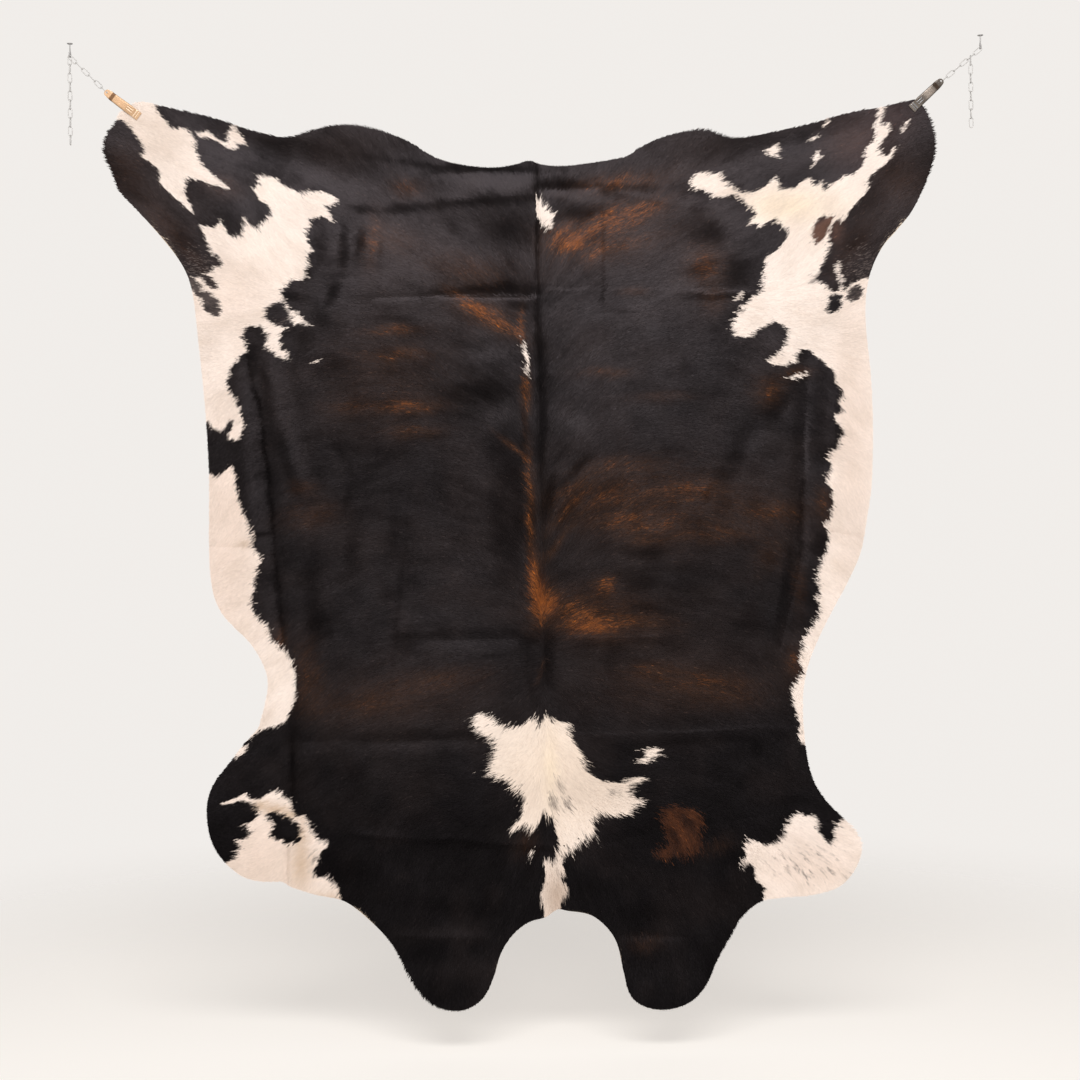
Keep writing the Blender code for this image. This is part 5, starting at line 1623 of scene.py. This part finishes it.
# A link's weld on one side: places along it in millimetres, and the wire's share of its radius.
WELD = ((1.3, 1.0), (0.5, 1.22), (-0.5, 1.22), (-1.3, 1.0))
HOOK_LEAD_STEPS = 8
HOOK_BEND_STEPS = 24
HOOK_PLATE_PROFILE = ((0.0, 1.6), (3.6, 1.6), (5.4, 1.35), (6.5, 0.85), (7.0, 0.3), (7.0, 0.0), (0.0, 0.0))
HOOK_PLATE_STEPS = 48
MERGE_DISTANCE = 1e-7
HOOK_TIP_BEND = (0.9, 0.85)
HOOK_TIP_SWELLS = [0.93, 0.6]
LINK_ROUNDNESS = 4
HOOK_ROUNDNESS = 6
SPRING_ROUNDNESS = 3


def wire_piece(name, points, radius, material, roundness, cyclic=False, swells=None):
    """Make a round wire through the points. Swells gives each point's share of the radius."""
    curve = bpy.data.curves.new(name, "CURVE")
    curve.dimensions = "3D"
    curve.bevel_depth = radius
    curve.bevel_resolution = roundness
    curve.use_fill_caps = not cyclic
    spline = curve.splines.new("POLY")
    spline.points.add(len(points) - 1)
    for index, point in enumerate(points):
        spline.points[index].co = (*point, 1.0)
        spline.points[index].radius = 1.0 if swells is None else swells[index]
    spline.use_cyclic_u = cyclic
    spline.use_smooth = True
    curve.materials.append(material)
    piece = bpy.data.objects.new(name, curve)
    bpy.context.scene.collection.objects.link(piece)
    return piece


def link_route():
    """Return a link's wire route in its own XY plane, and the swell of its weld."""
    half_straight = LINK_LENGTH / 2 - LINK_HALF_WIDTH
    points, swells = [], []
    for end in (1, -1):
        for step in range(LINK_END_STEPS + 1):
            angle = math.pi * (step / LINK_END_STEPS - 0.5)
            points.append((
                end * (half_straight + LINK_HALF_WIDTH * math.cos(angle)),
                end * LINK_HALF_WIDTH * math.sin(angle), 0.0))
            swells.append(1.0)
        if end == 1:
            for place, swell in WELD:
                points.append((place * MM, LINK_HALF_WIDTH, 0.0))
                swells.append(swell)
    return points, swells


def build_link(node, centre, along, side, material):
    """Build one link over its node, long in one direction and wide in another."""
    turn = Matrix((along, side, along.cross(side))).transposed()
    points, swells = link_route()
    places = [centre + turn @ Vector(point) for point in points]
    link = wire_piece(
        node.replace("chain", "link"), places, LINK_WIRE_RADIUS, material, LINK_ROUNDNESS, True, swells)
    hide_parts(node)
    return link


def tail_start(hanging):
    """Return the free tail's first link: its centre, and whether it faces the front."""
    if hanging.tail_on_run:
        along = slope_direction(hanging, hanging.chain_slope_deg)
        seat = run_link_centre(hanging, 1) + along * TAIL_ALONG - Vector((0, LINK_HALF_WIDTH, 0))
        slack = (2 * LINK_WIRE_RADIUS + LINK_PLAY) / math.cos(math.radians(hanging.chain_slope_deg))
        return seat + Vector((0, 0, slack - LINK_LENGTH / 2)), False
    lean = math.asin(TAIL_BESIDE / HOOK_BEND_RADIUS)
    rise = HOOK_BEND_RADIUS * (1 - math.cos(lean))
    slack = (HOOK_WIRE_RADIUS + LINK_WIRE_RADIUS + FIT_GAP) / math.cos(lean)
    seat = hook_seat(hanging) + Vector((0, -TAIL_BESIDE, rise))
    return seat + Vector((0, 0, slack - LINK_LENGTH / 2)), True


def build_chain(side, hanging, material):
    """Build a chain: its run from hook to clip and its free tail."""
    along = slope_direction(hanging, hanging.chain_slope_deg)
    flat_side = Vector((along.z, 0, -along.x))
    pieces = []
    for index in range(RUN_LINKS):
        turned = Vector((0, 1, 0)) if index % 2 else flat_side
        node = f"chain_{side}_run_{index + 1}"
        pieces.append(build_link(node, run_link_centre(hanging, index), along, turned, material))
    centre, faces_front = tail_start(hanging)
    down = Vector((0, 0, -1))
    for index in range(hanging.tail_links):
        turned = Vector((0, 1, 0)) if (index % 2 == 1) == faces_front else Vector((1, 0, 0))
        node = f"chain_{side}_tail_{index + 1}"
        pieces.append(build_link(node, centre + down * LINK_PITCH * index, down, turned, material))
    return pieces


def hook_route():
    """Return the hook wire's route in its own YZ plane, from the plate to the open tip."""
    centre_z = -HOOK_DROP + HOOK_BEND_RADIUS
    route = [(0.0, -0.5 * HOOK_PLATE_THICKNESS), (0.0, -HOOK_SHANK)]
    for step in range(1, HOOK_LEAD_STEPS):
        t = step / HOOK_LEAD_STEPS
        sway = t * t * (3 - 2 * t)
        route.append((HOOK_BEND_RADIUS * sway, -HOOK_SHANK + (centre_z + HOOK_SHANK) * t))
    for step in range(HOOK_BEND_STEPS + 1):
        angle = math.pi * step / HOOK_BEND_STEPS
        route.append((HOOK_BEND_RADIUS * math.cos(angle), centre_z - HOOK_BEND_RADIUS * math.sin(angle)))
    out, rise = HOOK_TIP_BEND
    route.append((-HOOK_BEND_RADIUS - out * HOOK_TIP_OUT, centre_z + rise * HOOK_TIP_RISE))
    route.append((-HOOK_BEND_RADIUS - HOOK_TIP_OUT, centre_z + HOOK_TIP_RISE))
    return route


def turned_piece(name, profile, centre, steps, material):
    """Make a solid of revolution about a vertical line from (radius, drop) pairs in millimetres."""
    bm = bmesh.new()
    spine = [bm.verts.new(centre + Vector((radius * MM, 0, -drop * MM))) for radius, drop in profile]
    edges = [bm.edges.new(pair) for pair in zip(spine, spine[1:])]
    bmesh.ops.spin(
        bm, geom=spine + edges, cent=centre, axis=(0, 0, 1), dvec=(0, 0, 0),
        angle=2 * math.pi, steps=steps, use_duplicate=False)
    bmesh.ops.remove_doubles(bm, verts=bm.verts, dist=MERGE_DISTANCE)
    bmesh.ops.recalc_face_normals(bm, faces=bm.faces)
    mesh = bpy.data.meshes.new(name)
    bm.to_mesh(mesh)
    bm.free()
    mesh.shade_smooth()
    mesh.materials.append(material)
    piece = bpy.data.objects.new(name, mesh)
    bpy.context.scene.collection.objects.link(piece)
    return piece


def build_hook(side, hanging, material):
    """Build a ceiling hook: its domed plate and its bent wire."""
    x = hanging.side * HOOK_SPAN / 2
    route = [(x, y, z) for y, z in hook_route()]
    swells = [1.0] * (len(route) - len(HOOK_TIP_SWELLS)) + HOOK_TIP_SWELLS
    wire = wire_piece(
        f"ceiling_{side}_wire", route, HOOK_WIRE_RADIUS, material, HOOK_ROUNDNESS, swells=swells)
    plate = turned_piece(
        f"ceiling_{side}_plate", HOOK_PLATE_PROFILE, Vector((x, 0, 0)), HOOK_PLATE_STEPS, material)
    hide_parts("hook_" + side)
    return [wire, plate]


# The clips.

# A lever's inner face from tail to jaw, in millimetres: place along, opening from the middle.
LeverBend = namedtuple("LeverBend", "place opening")
LEVER_BENDS = (
    LeverBend(0.0, 8.0), LeverBend(18.0, 8.0), LeverBend(26.0, 5.0), LeverBend(60.0, 5.0),
    LeverBend(82.0, 2.9), LeverBend(87.0, 2.3), LeverBend(102.0, 2.3),
)
LEVER_BEND_EASE = 1.6
LEVER_PLACES = (
    (0.12, 0.6, 1.3, 2.2, 3.3, 4.6, 6.0, 7.4, 8.5, 9.8, 11.5, 13.5),
    tuple(15.5 + 1.0 * step for step in range(15)),
    tuple(33.0 + 3.0 * step for step in range(10)),
    tuple(61.5 + 0.65 * step for step in range(62)),
)
LEVER_COLUMNS = (0.0, 0.12, 0.2, 0.25, 0.3, 0.35, 0.4, 0.5, 0.62, 0.74, 0.84, 0.9, 0.94, 0.975, 1.0)
FLANGE_DEPTH = 2.3
FLANGE_START = 0.80
# Where the flanges rise from the plate and fade out again: place along, and over how far.
FLANGE_TAIL = (10.0, 12.0)
FLANGE_JAW = (79.0, 14.0)
# Two long ribs and two cross ribs near the jaw. A rib's height is in millimetres.
LongRibs = namedtuple("LongRibs", "start end middle_share half_share height")
LONG_RIBS = LongRibs(64.0, 82.0, 0.30, 0.085, 0.55)
LONG_RIB_FADE = 1.6
CROSS_RIBS = ((88.5, 0.5), (94.5, 0.5))
CROSS_RIB_HALF_WIDTH = 1.15
CROSS_RIB_END = 0.93
CROSS_RIB_FADE = 0.12
RIB_SQUARENESS = 4
LEVER_END_ROUND = 1.2
LEVER_END_SLOPE = 0.6
LEVER_EASE_SAMPLES = 7
LEVER_ROUND = 0.28 * MM
LEVER_ROUND_STEPS = 2
LEVER_ROUND_ANGLE = math.radians(50)
LEVER_SHARP_ANGLE = math.radians(38)
HOLE_STEPS = 40
HOLE_CUTTER_LENGTH = 6 * CLIP_PLATE
# The levers' painted light and shade: a darker step, painted highlights on upper turned edges and ribs, and
# painted shade on lower edges, near the jaw and over the back lever.
STEP_PLACES = (17.5, 26.0)
STEP_PAINTED_SHADE = (0.36, 0.30, 0.26)
EDGE_AND_RIB_PAINTED_HIGHLIGHT = (1.3, 1.55, 1.9)
LOWER_EDGE_PAINTED_SHADE = 0.7
EDGE_FACING = 0.6
JAW_PAINTED_SHADE = 0.85
TONED_PLACES = (0.5, 101.0)
BACK_LEVER_PAINTED_SHADE = 0.5
# How the painted reflections along a lever run from tail to jaw: (place, tone).
LEVER_PAINTED_REFLECTIONS = {
    "clip_warm_steel": ((0, 1.03), (16, 1.03), (28, 0.94), (44, 1.04), (60, 0.93), (102, 1.0)),
    "clip_steel": ((0, 0.6), (16, 0.5), (27, 0.75), (37, 1.5), (52, 1.55), (61, 0.8), (102, 1.05)),
}
RIB_SHOWS = 0.22
SPRING_WIRE_RADIUS = 0.75 * MM
SPRING_COIL_RADIUS = 3.85 * MM
SPRING_TURNS = 8.5
SPRING_STEPS = 160
SPRING_ARM = 15.0 * MM
SPRING_ARM_SHARES = (0.1, 0.5, 1.0)


def lever_half_width(place):
    """Return a lever's half width in millimetres: round at the tail, then widening to the jaw."""
    tail, jaw = CLIP_TAIL_HALF_WIDTH / MM, CLIP_JAW_HALF_WIDTH / MM
    if place < tail:
        return math.sqrt(tail ** 2 - (tail - place) ** 2)
    full = tail + (jaw - tail) * (place - tail) / (CLIP_LENGTH / MM - tail)
    short = CLIP_LENGTH / MM - place
    return full - max(0.0, LEVER_END_ROUND - short) * LEVER_END_SLOPE


def lever_opening(place):
    """Return a lever's opening at a place, with its bends eased, in millimetres."""
    shifts = np.linspace(-LEVER_BEND_EASE, LEVER_BEND_EASE, LEVER_EASE_SAMPLES)
    places, openings = zip(*LEVER_BENDS)
    return float(np.interp(place + shifts, places, openings).mean())


def eased(value):
    """Ease one number from 0 to 1, flat at both ends."""
    return float(ease(np.array(value)))


def lever_relief(place, share):
    """Return how far the plate stands out from its flat strip, in millimetres."""
    tail, tail_fade = FLANGE_TAIL
    jaw, jaw_fade = FLANGE_JAW
    held = eased((place - tail) / tail_fade) * eased((jaw - place) / jaw_fade)
    past = max(0.0, (abs(share) - FLANGE_START) / (1 - FLANGE_START))
    height = -FLANGE_DEPTH * held * (1 - math.sqrt(max(0.0, 1 - past ** 2)))
    ribs = LONG_RIBS
    ends = eased((place - ribs.start) / LONG_RIB_FADE) * eased((ribs.end - place) / LONG_RIB_FADE)
    beside = (abs(share) - ribs.middle_share) / ribs.half_share
    height += ribs.height * ends * math.exp(-beside ** RIB_SQUARENESS)
    across = eased((CROSS_RIB_END - abs(share)) / CROSS_RIB_FADE)
    for rib, rib_height in CROSS_RIBS:
        along = (place - rib) / CROSS_RIB_HALF_WIDTH
        height += rib_height * across * math.exp(-along ** RIB_SQUARENESS)
    return height


def lever_sheet(frame, facing):
    """Return a mesh of a lever's inner face, before it has its thickness."""
    columns = [-share for share in reversed(LEVER_COLUMNS[1:])] + list(LEVER_COLUMNS)
    bm = bmesh.new()
    rows = []
    for place in [place for stretch in LEVER_PLACES for place in stretch if place < CLIP_LENGTH / MM]:
        row = []
        for share in columns:
            corner = frame.tail + frame.along * place * MM
            corner += frame.across * lever_half_width(place) * share * MM
            height = lever_opening(place) + lever_relief(place, share)
            corner.y = HIDE_PLANE_Y + facing * height * MM
            row.append(bm.verts.new(corner))
        rows.append(row)
    for lower, upper in zip(rows, rows[1:]):
        for k in range(len(columns) - 1):
            bm.faces.new((lower[k], lower[k + 1], upper[k + 1], upper[k]))
    bm.normal_update()
    if sum(face.normal.y * facing for face in bm.faces) < 0:
        bmesh.ops.reverse_faces(bm, faces=bm.faces)
    mesh = bpy.data.meshes.new("lever")
    bm.to_mesh(mesh)
    bm.free()
    return mesh


def press_lever(lever, frame, facing):
    """Give a lever its thickness, its hole and its rounded edges."""
    plate = lever.modifiers.new("plate", "SOLIDIFY")
    plate.thickness = CLIP_PLATE
    plate.offset = 1.0
    hole = frame.tail + frame.along * CLIP_HOLE_PLACE
    hole.y = HIDE_PLANE_Y + facing * CLIP_TAIL_OPENING
    cutter = hole_cutter(lever.name + "_hole", hole)
    cut = lever.modifiers.new("hole", "BOOLEAN")
    cut.operation = "DIFFERENCE"
    cut.object = cutter
    edges = lever.modifiers.new("edges", "BEVEL")
    edges.width = LEVER_ROUND
    edges.segments = LEVER_ROUND_STEPS
    edges.limit_method = "ANGLE"
    edges.angle_limit = LEVER_ROUND_ANGLE
    apply_modifiers(lever)
    lever.data.shade_smooth()
    lever.data.set_sharp_from_angle(angle=LEVER_SHARP_ANGLE)
    bpy.data.objects.remove(cutter, do_unlink=True)


def build_lever(node, frame, facing, slot, material):
    """Build one pressed lever over its node. Facing is -1 for the front lever."""
    lever = bpy.data.objects.new(node.replace("clip", "lever"), lever_sheet(frame, facing))
    lever.data.materials.append(material)
    bpy.context.scene.collection.objects.link(lever)
    press_lever(lever, frame, facing)
    paint_lever_light_and_shade(lever, frame, facing, LEVER_PAINTED_REFLECTIONS[slot])
    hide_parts(node)
    return lever


def paint_lever_light_and_shade(lever, frame, facing, run):
    """Store a lever's painted light and shade: paler turned edges and ribs as painted highlights, darker
    lower edges, a browner step, a darker jaw and a duller back lever as painted shade, and painted
    reflections along it.
    """
    mesh = lever.data
    layer = mesh.color_attributes.new(name="tone", type="FLOAT_COLOR", domain="CORNER")
    for face in mesh.polygons:
        reach = (face.center - frame.tail) / MM
        place = reach.dot(frame.along)
        share = reach.dot(frame.across) / max(lever_half_width(float(np.clip(place, *TONED_PLACES))), 1.0)
        tone = Vector((1.0, 1.0, 1.0)) * float(np.interp(place, *zip(*run)))
        if STEP_PLACES[0] < place < STEP_PLACES[1]:
            tone = Vector(STEP_PAINTED_SHADE)
        elif abs(face.normal.y) < EDGE_FACING:
            tone = Vector(EDGE_AND_RIB_PAINTED_HIGHLIGHT) * (1.0 if face.normal.z > 0 else LOWER_EDGE_PAINTED_SHADE)
        elif place > LONG_RIBS.start and lever_relief(place, share) > RIB_SHOWS:
            tone = Vector(EDGE_AND_RIB_PAINTED_HIGHLIGHT)
        elif place > LONG_RIBS.start:
            tone *= JAW_PAINTED_SHADE
        tone *= 1.0 if facing < 0 else BACK_LEVER_PAINTED_SHADE
        for corner in face.loop_indices:
            layer.data[corner].color = (*tone, 1.0)


def hole_cutter(name, centre):
    """Make the round cutter of a lever's hole, which runs along Y."""
    bm = bmesh.new()
    bmesh.ops.create_cone(
        bm, cap_ends=True, segments=HOLE_STEPS, radius1=CLIP_HOLE_RADIUS, radius2=CLIP_HOLE_RADIUS,
        depth=HOLE_CUTTER_LENGTH, matrix=Matrix.Translation(centre) @ Matrix.Rotation(math.pi / 2, 4, "X"))
    mesh = bpy.data.meshes.new(name)
    bm.to_mesh(mesh)
    bm.free()
    cutter = bpy.data.objects.new(name, mesh)
    bpy.context.scene.collection.objects.link(cutter)
    cutter.hide_render = True
    return cutter


def apply_modifiers(piece):
    """Keep a piece's mesh as its modifiers leave it."""
    bpy.context.view_layer.update()
    evaluated = piece.evaluated_get(bpy.context.evaluated_depsgraph_get())
    mesh = bpy.data.meshes.new_from_object(evaluated)
    piece.modifiers.clear()
    piece.data = mesh


def build_spring(node, frame, material):
    """Build the coiled spring over its node: its turns, and an arm along each lever."""
    centre = frame.tail + frame.along * CLIP_SPRING_PLACE
    centre.y = HIDE_PLANE_Y
    half_length = CLIP_SPRING_LENGTH / 2 - SPRING_WIRE_RADIUS
    forward = Vector((0, -1, 0))
    points = []
    for step in range(SPRING_STEPS + 1):
        angle = 2 * math.pi * SPRING_TURNS * step / SPRING_STEPS - math.pi / 2
        side = half_length * (2 * step / SPRING_STEPS - 1)
        spoke = frame.along * math.cos(angle) + forward * math.sin(angle)
        points.append(centre + spoke * SPRING_COIL_RADIUS + frame.across * side)
    arms = [points[0] + frame.along * SPRING_ARM * share for share in reversed(SPRING_ARM_SHARES)]
    ends = [points[-1] + frame.along * SPRING_ARM * share for share in SPRING_ARM_SHARES]
    spring = wire_piece(
        node.replace("clip", "coil"), arms + points + ends, SPRING_WIRE_RADIUS, material, SPRING_ROUNDNESS)
    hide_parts(node)
    return spring


def build_clip(side, hanging, slot, steel, spring_steel):
    """Build a clip: front lever, back lever and the spring between them."""
    frame = clip_frame(hanging)
    node = "clip_" + side
    return [
        build_lever(node + "_front", frame, -1, slot, steel),
        build_lever(node + "_back", frame, +1, slot, steel),
        build_spring(node + "_spring", frame, spring_steel),
    ]


# Materials.

SCRATCH_SCALE = (90.0, 90.0, 1500.0)
SCRATCH_TURN = (0.0, math.radians(48), 0.0)
FLESH_TONES = (0.60, 0.50, 0.40), (0.43, 0.34, 0.26)
CUT_TONES = (0.70, 0.60, 0.48), (0.50, 0.40, 0.30)

# Plated steels. Where the last field is true, a lever's painted highlights, painted shade and painted
# reflections are laid over the colour.
Steel = namedtuple("Steel", "name pale deep roughness metallic toned")
CHAIN_STEEL = Steel("chain steel", (0.73, 0.71, 0.69), (0.57, 0.55, 0.53), 0.34, 0.22, False)
HOOK_STEEL = Steel("hook steel", (0.68, 0.66, 0.65), (0.48, 0.47, 0.46), 0.30, 0.3, False)
SPRING_STEEL = Steel("spring steel", (0.42, 0.40, 0.38), (0.26, 0.25, 0.24), 0.3, 0.5, False)
# The warm clip's colour is a painted reflection of warm light on the steel.
STEEL_PAINTED_WARM_REFLECTION = Steel("warm clip", (0.80, 0.52, 0.31), (0.63, 0.38, 0.21), 0.26, 0.2, True)
DARK_STEEL = Steel("dark clip", (0.27, 0.225, 0.19), (0.15, 0.125, 0.105), 0.22, 0.35, True)
CLIP_STEELS = {"left": ("clip_warm_steel", STEEL_PAINTED_WARM_REFLECTION), "right": ("clip_steel", DARK_STEEL)}


def new_material(name):
    """Return a new material with its node tree and its shader."""
    material = bpy.data.materials.new(name)
    material.use_nodes = True
    return material, material.node_tree, material.node_tree.nodes["Principled BSDF"]


def add_node(tree, kind, inputs, **settings):
    """Add a shader node. An input that is another node's output is linked, the rest are set."""
    node = tree.nodes.new("ShaderNode" + kind)
    for key, value in settings.items():
        setattr(node, key, value)
    for key, value in inputs.items():
        if isinstance(value, bpy.types.NodeSocket):
            tree.links.new(value, node.inputs[key])
        else:
            node.inputs[key].default_value = value
    return node


def object_place(tree):
    """Return each place in the piece's own metres."""
    return add_node(tree, "TexCoord", {}).outputs["Object"]


def cloudy(tree, place, scale, detail, distortion=0.0):
    """Return a cloudy noise from 0 to 1."""
    inputs = {"Vector": place, "Scale": scale, "Detail": detail, "Distortion": distortion}
    return add_node(tree, "TexNoise", inputs).outputs["Fac"]


def spread(tree, value, low, high):
    """Return a value from 0 to 1 spread over another range."""
    return add_node(tree, "MapRange", {"Value": value, "To Min": low, "To Max": high}).outputs[0]


def scaled(tree, colour, share):
    """Return a colour made darker or lighter by a share."""
    return add_node(tree, "VectorMath", {0: colour, "Scale": share}, operation="SCALE").outputs[0]


def coat_material():
    """The coat: each blade's own colour, a little uneven from hair to hair and in clouds."""
    material, tree, shader = new_material("coat hair")
    colour = add_node(tree, "Attribute", {}, attribute_name="coat").outputs["Color"]
    place = object_place(tree)
    hairs = spread(tree, cloudy(tree, place, 900.0, 1.0), 0.92, 1.08)
    broad = cloudy(tree, place, 9.0, 3.0)
    clouds = spread(tree, broad, 0.90, 1.10)
    share = add_node(tree, "Math", {0: hairs, 1: clouds}, operation="MULTIPLY").outputs[0]
    tree.links.new(scaled(tree, colour, share), shader.inputs["Base Color"])
    tree.links.new(spread(tree, broad, 0.49, 0.57), shader.inputs["Roughness"])
    shader.inputs["Specular IOR Level"].default_value = 0.60
    shader.inputs["Specular Tint"].default_value = (1.0, 0.875, 0.950, 1)
    return material


def suede_material(name, pale, deep, rough):
    """Suede: a fine nap over clouds of a pale and a deeper tone."""
    material, tree, shader = new_material(name)
    place = object_place(tree)
    nap = cloudy(tree, place, 1100.0, 4.0)
    ramp = add_node(tree, "ValToRGB", {"Fac": cloudy(tree, place, 5.0, 6.0, 0.6)})
    for stop, position, tone in zip(ramp.color_ramp.elements, (0.32, 0.66), (deep, pale)):
        stop.position = position
        stop.color = (*tone, 1)
    shaded = scaled(tree, ramp.outputs["Color"], spread(tree, nap, 0.84, 1.12))
    tree.links.new(shaded, shader.inputs["Base Color"])
    lumps = {"Height": cloudy(tree, place, 60.0, 5.0), "Strength": 0.35, "Distance": 0.8 * MM}
    under = add_node(tree, "Bump", lumps).outputs[0]
    fuzz = {"Height": nap, "Strength": 0.5, "Distance": 0.3 * MM, "Normal": under}
    tree.links.new(add_node(tree, "Bump", fuzz).outputs[0], shader.inputs["Normal"])
    shader.inputs["Roughness"].default_value = rough
    shader.inputs["Specular IOR Level"].default_value = 0.15
    shader.inputs["Sheen Weight"].default_value = 0.15
    return material


def steel_material(steel):
    """Plated steel: fine scratches, uneven polish and a little tarnish."""
    material, tree, shader = new_material(steel.name)
    place = object_place(tree)
    drawn = {"Vector": place, "Scale": SCRATCH_SCALE, "Rotation": SCRATCH_TURN}
    scratches = cloudy(tree, add_node(tree, "Mapping", drawn).outputs[0], 1.0, 3.0)
    tarnish = {0: cloudy(tree, place, 140.0, 4.0), 6: (*steel.deep, 1), 7: (*steel.pale, 1)}
    base = add_node(tree, "Mix", tarnish, data_type="RGBA").outputs[2]
    if steel.toned:
        # The lever's painted highlights, painted shade and painted reflections, stored as its tone.
        tone = add_node(tree, "Attribute", {}, attribute_name="tone").outputs["Color"]
        base = add_node(tree, "VectorMath", {0: base, 1: tone}, operation="MULTIPLY").outputs[0]
    tree.links.new(base, shader.inputs["Base Color"])
    rough = spread(tree, scratches, 0.6 * steel.roughness, 1.5 * steel.roughness)
    tree.links.new(rough, shader.inputs["Roughness"])
    bump = add_node(tree, "Bump", {"Height": scratches, "Strength": 0.18, "Distance": 0.05 * MM})
    tree.links.new(bump.outputs[0], shader.inputs["Normal"])
    shader.inputs["Metallic"].default_value = steel.metallic
    return material


def floor_material():
    """A pale floor that fades away with distance."""
    material, tree, shader = new_material("floor")
    reach = add_node(tree, "VectorMath", {0: object_place(tree)}, operation="LENGTH")
    near, far = (share * FLOOR_RADIUS for share in FLOOR_FADE)
    fading = {
        "Value": reach.outputs["Value"], "From Min": near, "From Max": far, "To Min": 1.0, "To Max": 0.0}
    fade = add_node(tree, "MapRange", fading, interpolation_type="SMOOTHSTEP").outputs[0]
    tree.links.new(fade, shader.inputs["Alpha"])
    shader.inputs["Base Color"].default_value = (0.80, 0.77, 0.73, 1)
    shader.inputs["Emission Color"].default_value = (0.80, 0.765, 0.73, 1)
    shader.inputs["Emission Strength"].default_value = 0.55
    shader.inputs["Roughness"].default_value = 0.7
    shader.inputs["Specular IOR Level"].default_value = 0.2
    return material


# The room.

def build_floor():
    """Build the pale floor under the rug."""
    bm = bmesh.new()
    bmesh.ops.create_circle(bm, cap_ends=True, segments=FLOOR_STEPS, radius=FLOOR_RADIUS)
    mesh = bpy.data.meshes.new("floor")
    bm.to_mesh(mesh)
    bm.free()
    floor = bpy.data.objects.new("floor", mesh)
    floor.location = (0, 0, FLOOR_Z)
    floor.visible_glossy = False
    mesh.materials.append(floor_material())
    bpy.context.scene.collection.objects.link(floor)


def add_light(name, place, aim, size, power, colour, shines):
    """Add one soft area light that faces a point. It shows in reflections only where it shines."""
    lamp = bpy.data.lights.new(name, "AREA")
    lamp.shape = "RECTANGLE"
    lamp.size, lamp.size_y = size
    lamp.energy = power
    lamp.color = colour
    light = bpy.data.objects.new(name, lamp)
    light.location = place
    light.visible_glossy = shines
    light.rotation_euler = (Vector(aim) - Vector(place)).to_track_quat("-Z", "Y").to_euler()
    bpy.context.scene.collection.objects.link(light)


def build_world():
    """Set pale surroundings, which light the part less than the camera sees them."""
    world = bpy.data.worlds.new("pale room")
    world.use_nodes = True
    tree = world.node_tree
    seen = tree.nodes["Background"]
    seen.inputs["Color"].default_value = (0.88, 0.85, 0.82, 1)
    rays = add_node(tree, "LightPath", {}).outputs
    strength = spread(tree, rays["Is Glossy Ray"], WORLD_LIGHT, WORLD_SHINE)
    lit = add_node(tree, "Background", {"Color": (1.0, 0.98, 0.97, 1), "Strength": strength})
    choice = {0: rays["Is Camera Ray"], 1: lit.outputs[0], 2: seen.outputs[0]}
    shown = add_node(tree, "MixShader", choice).outputs[0]
    tree.links.new(shown, tree.nodes["World Output"].inputs[0])
    bpy.context.scene.world = world


def place_camera():
    """Place the camera where the photo was taken from."""
    lens = bpy.data.cameras.new("photo camera")
    lens.lens = LENS_MM
    lens.sensor_width = SENSOR_MM
    camera = bpy.data.objects.new("photo camera", lens)
    distance = FRAME_WIDTH * LENS_MM / SENSOR_MM
    camera.location = (CAMERA_X, HIDE_PLANE_Y - distance, CAMERA_Z)
    camera.rotation_euler = (math.pi / 2, math.radians(PHOTO_ROLL_DEG), 0)
    bpy.context.scene.collection.objects.link(camera)
    bpy.context.scene.camera = camera


def build_room():
    """Set the pale surroundings, the lights, the floor and the camera."""
    bpy.context.scene.view_settings.view_transform = "Standard"
    bpy.context.scene.view_settings.look = "None"
    build_world()
    for light in LIGHTS:
        add_light(*light)
    build_floor()
    place_camera()


def main():
    """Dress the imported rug, its clips, its chains and its hooks."""
    rng = np.random.default_rng(SEED)
    loop = hide_loop()
    rim = RimField(loop)
    hair = coat_material()
    materials = {
        "skin": hair,
        "flesh": suede_material("flesh side", *FLESH_TONES, 0.9),
        "cut edge": suede_material("cut edge", *CUT_TONES, 0.85),
    }
    leather = build_leather(loop, rim, rng, materials)
    coats = [build_coat(name, span, loop, rim, rng, hair) for name, span in COAT_BANDS.items()]
    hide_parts("hide")
    for piece in [leather] + coats:
        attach(piece, "root")

    chain_steel, hook_steel, spring_steel = map(steel_material, (CHAIN_STEEL, HOOK_STEEL, SPRING_STEEL))
    for side, hanging in HANGINGS.items():
        slot, steel = CLIP_STEELS[side]
        pieces = build_clip(side, hanging, slot, steel_material(steel), spring_steel)
        pieces += build_chain(side, hanging, chain_steel)
        pieces += build_hook(side, hanging, hook_steel)
        for piece in pieces:
            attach(piece, "root")
    build_room()


main()
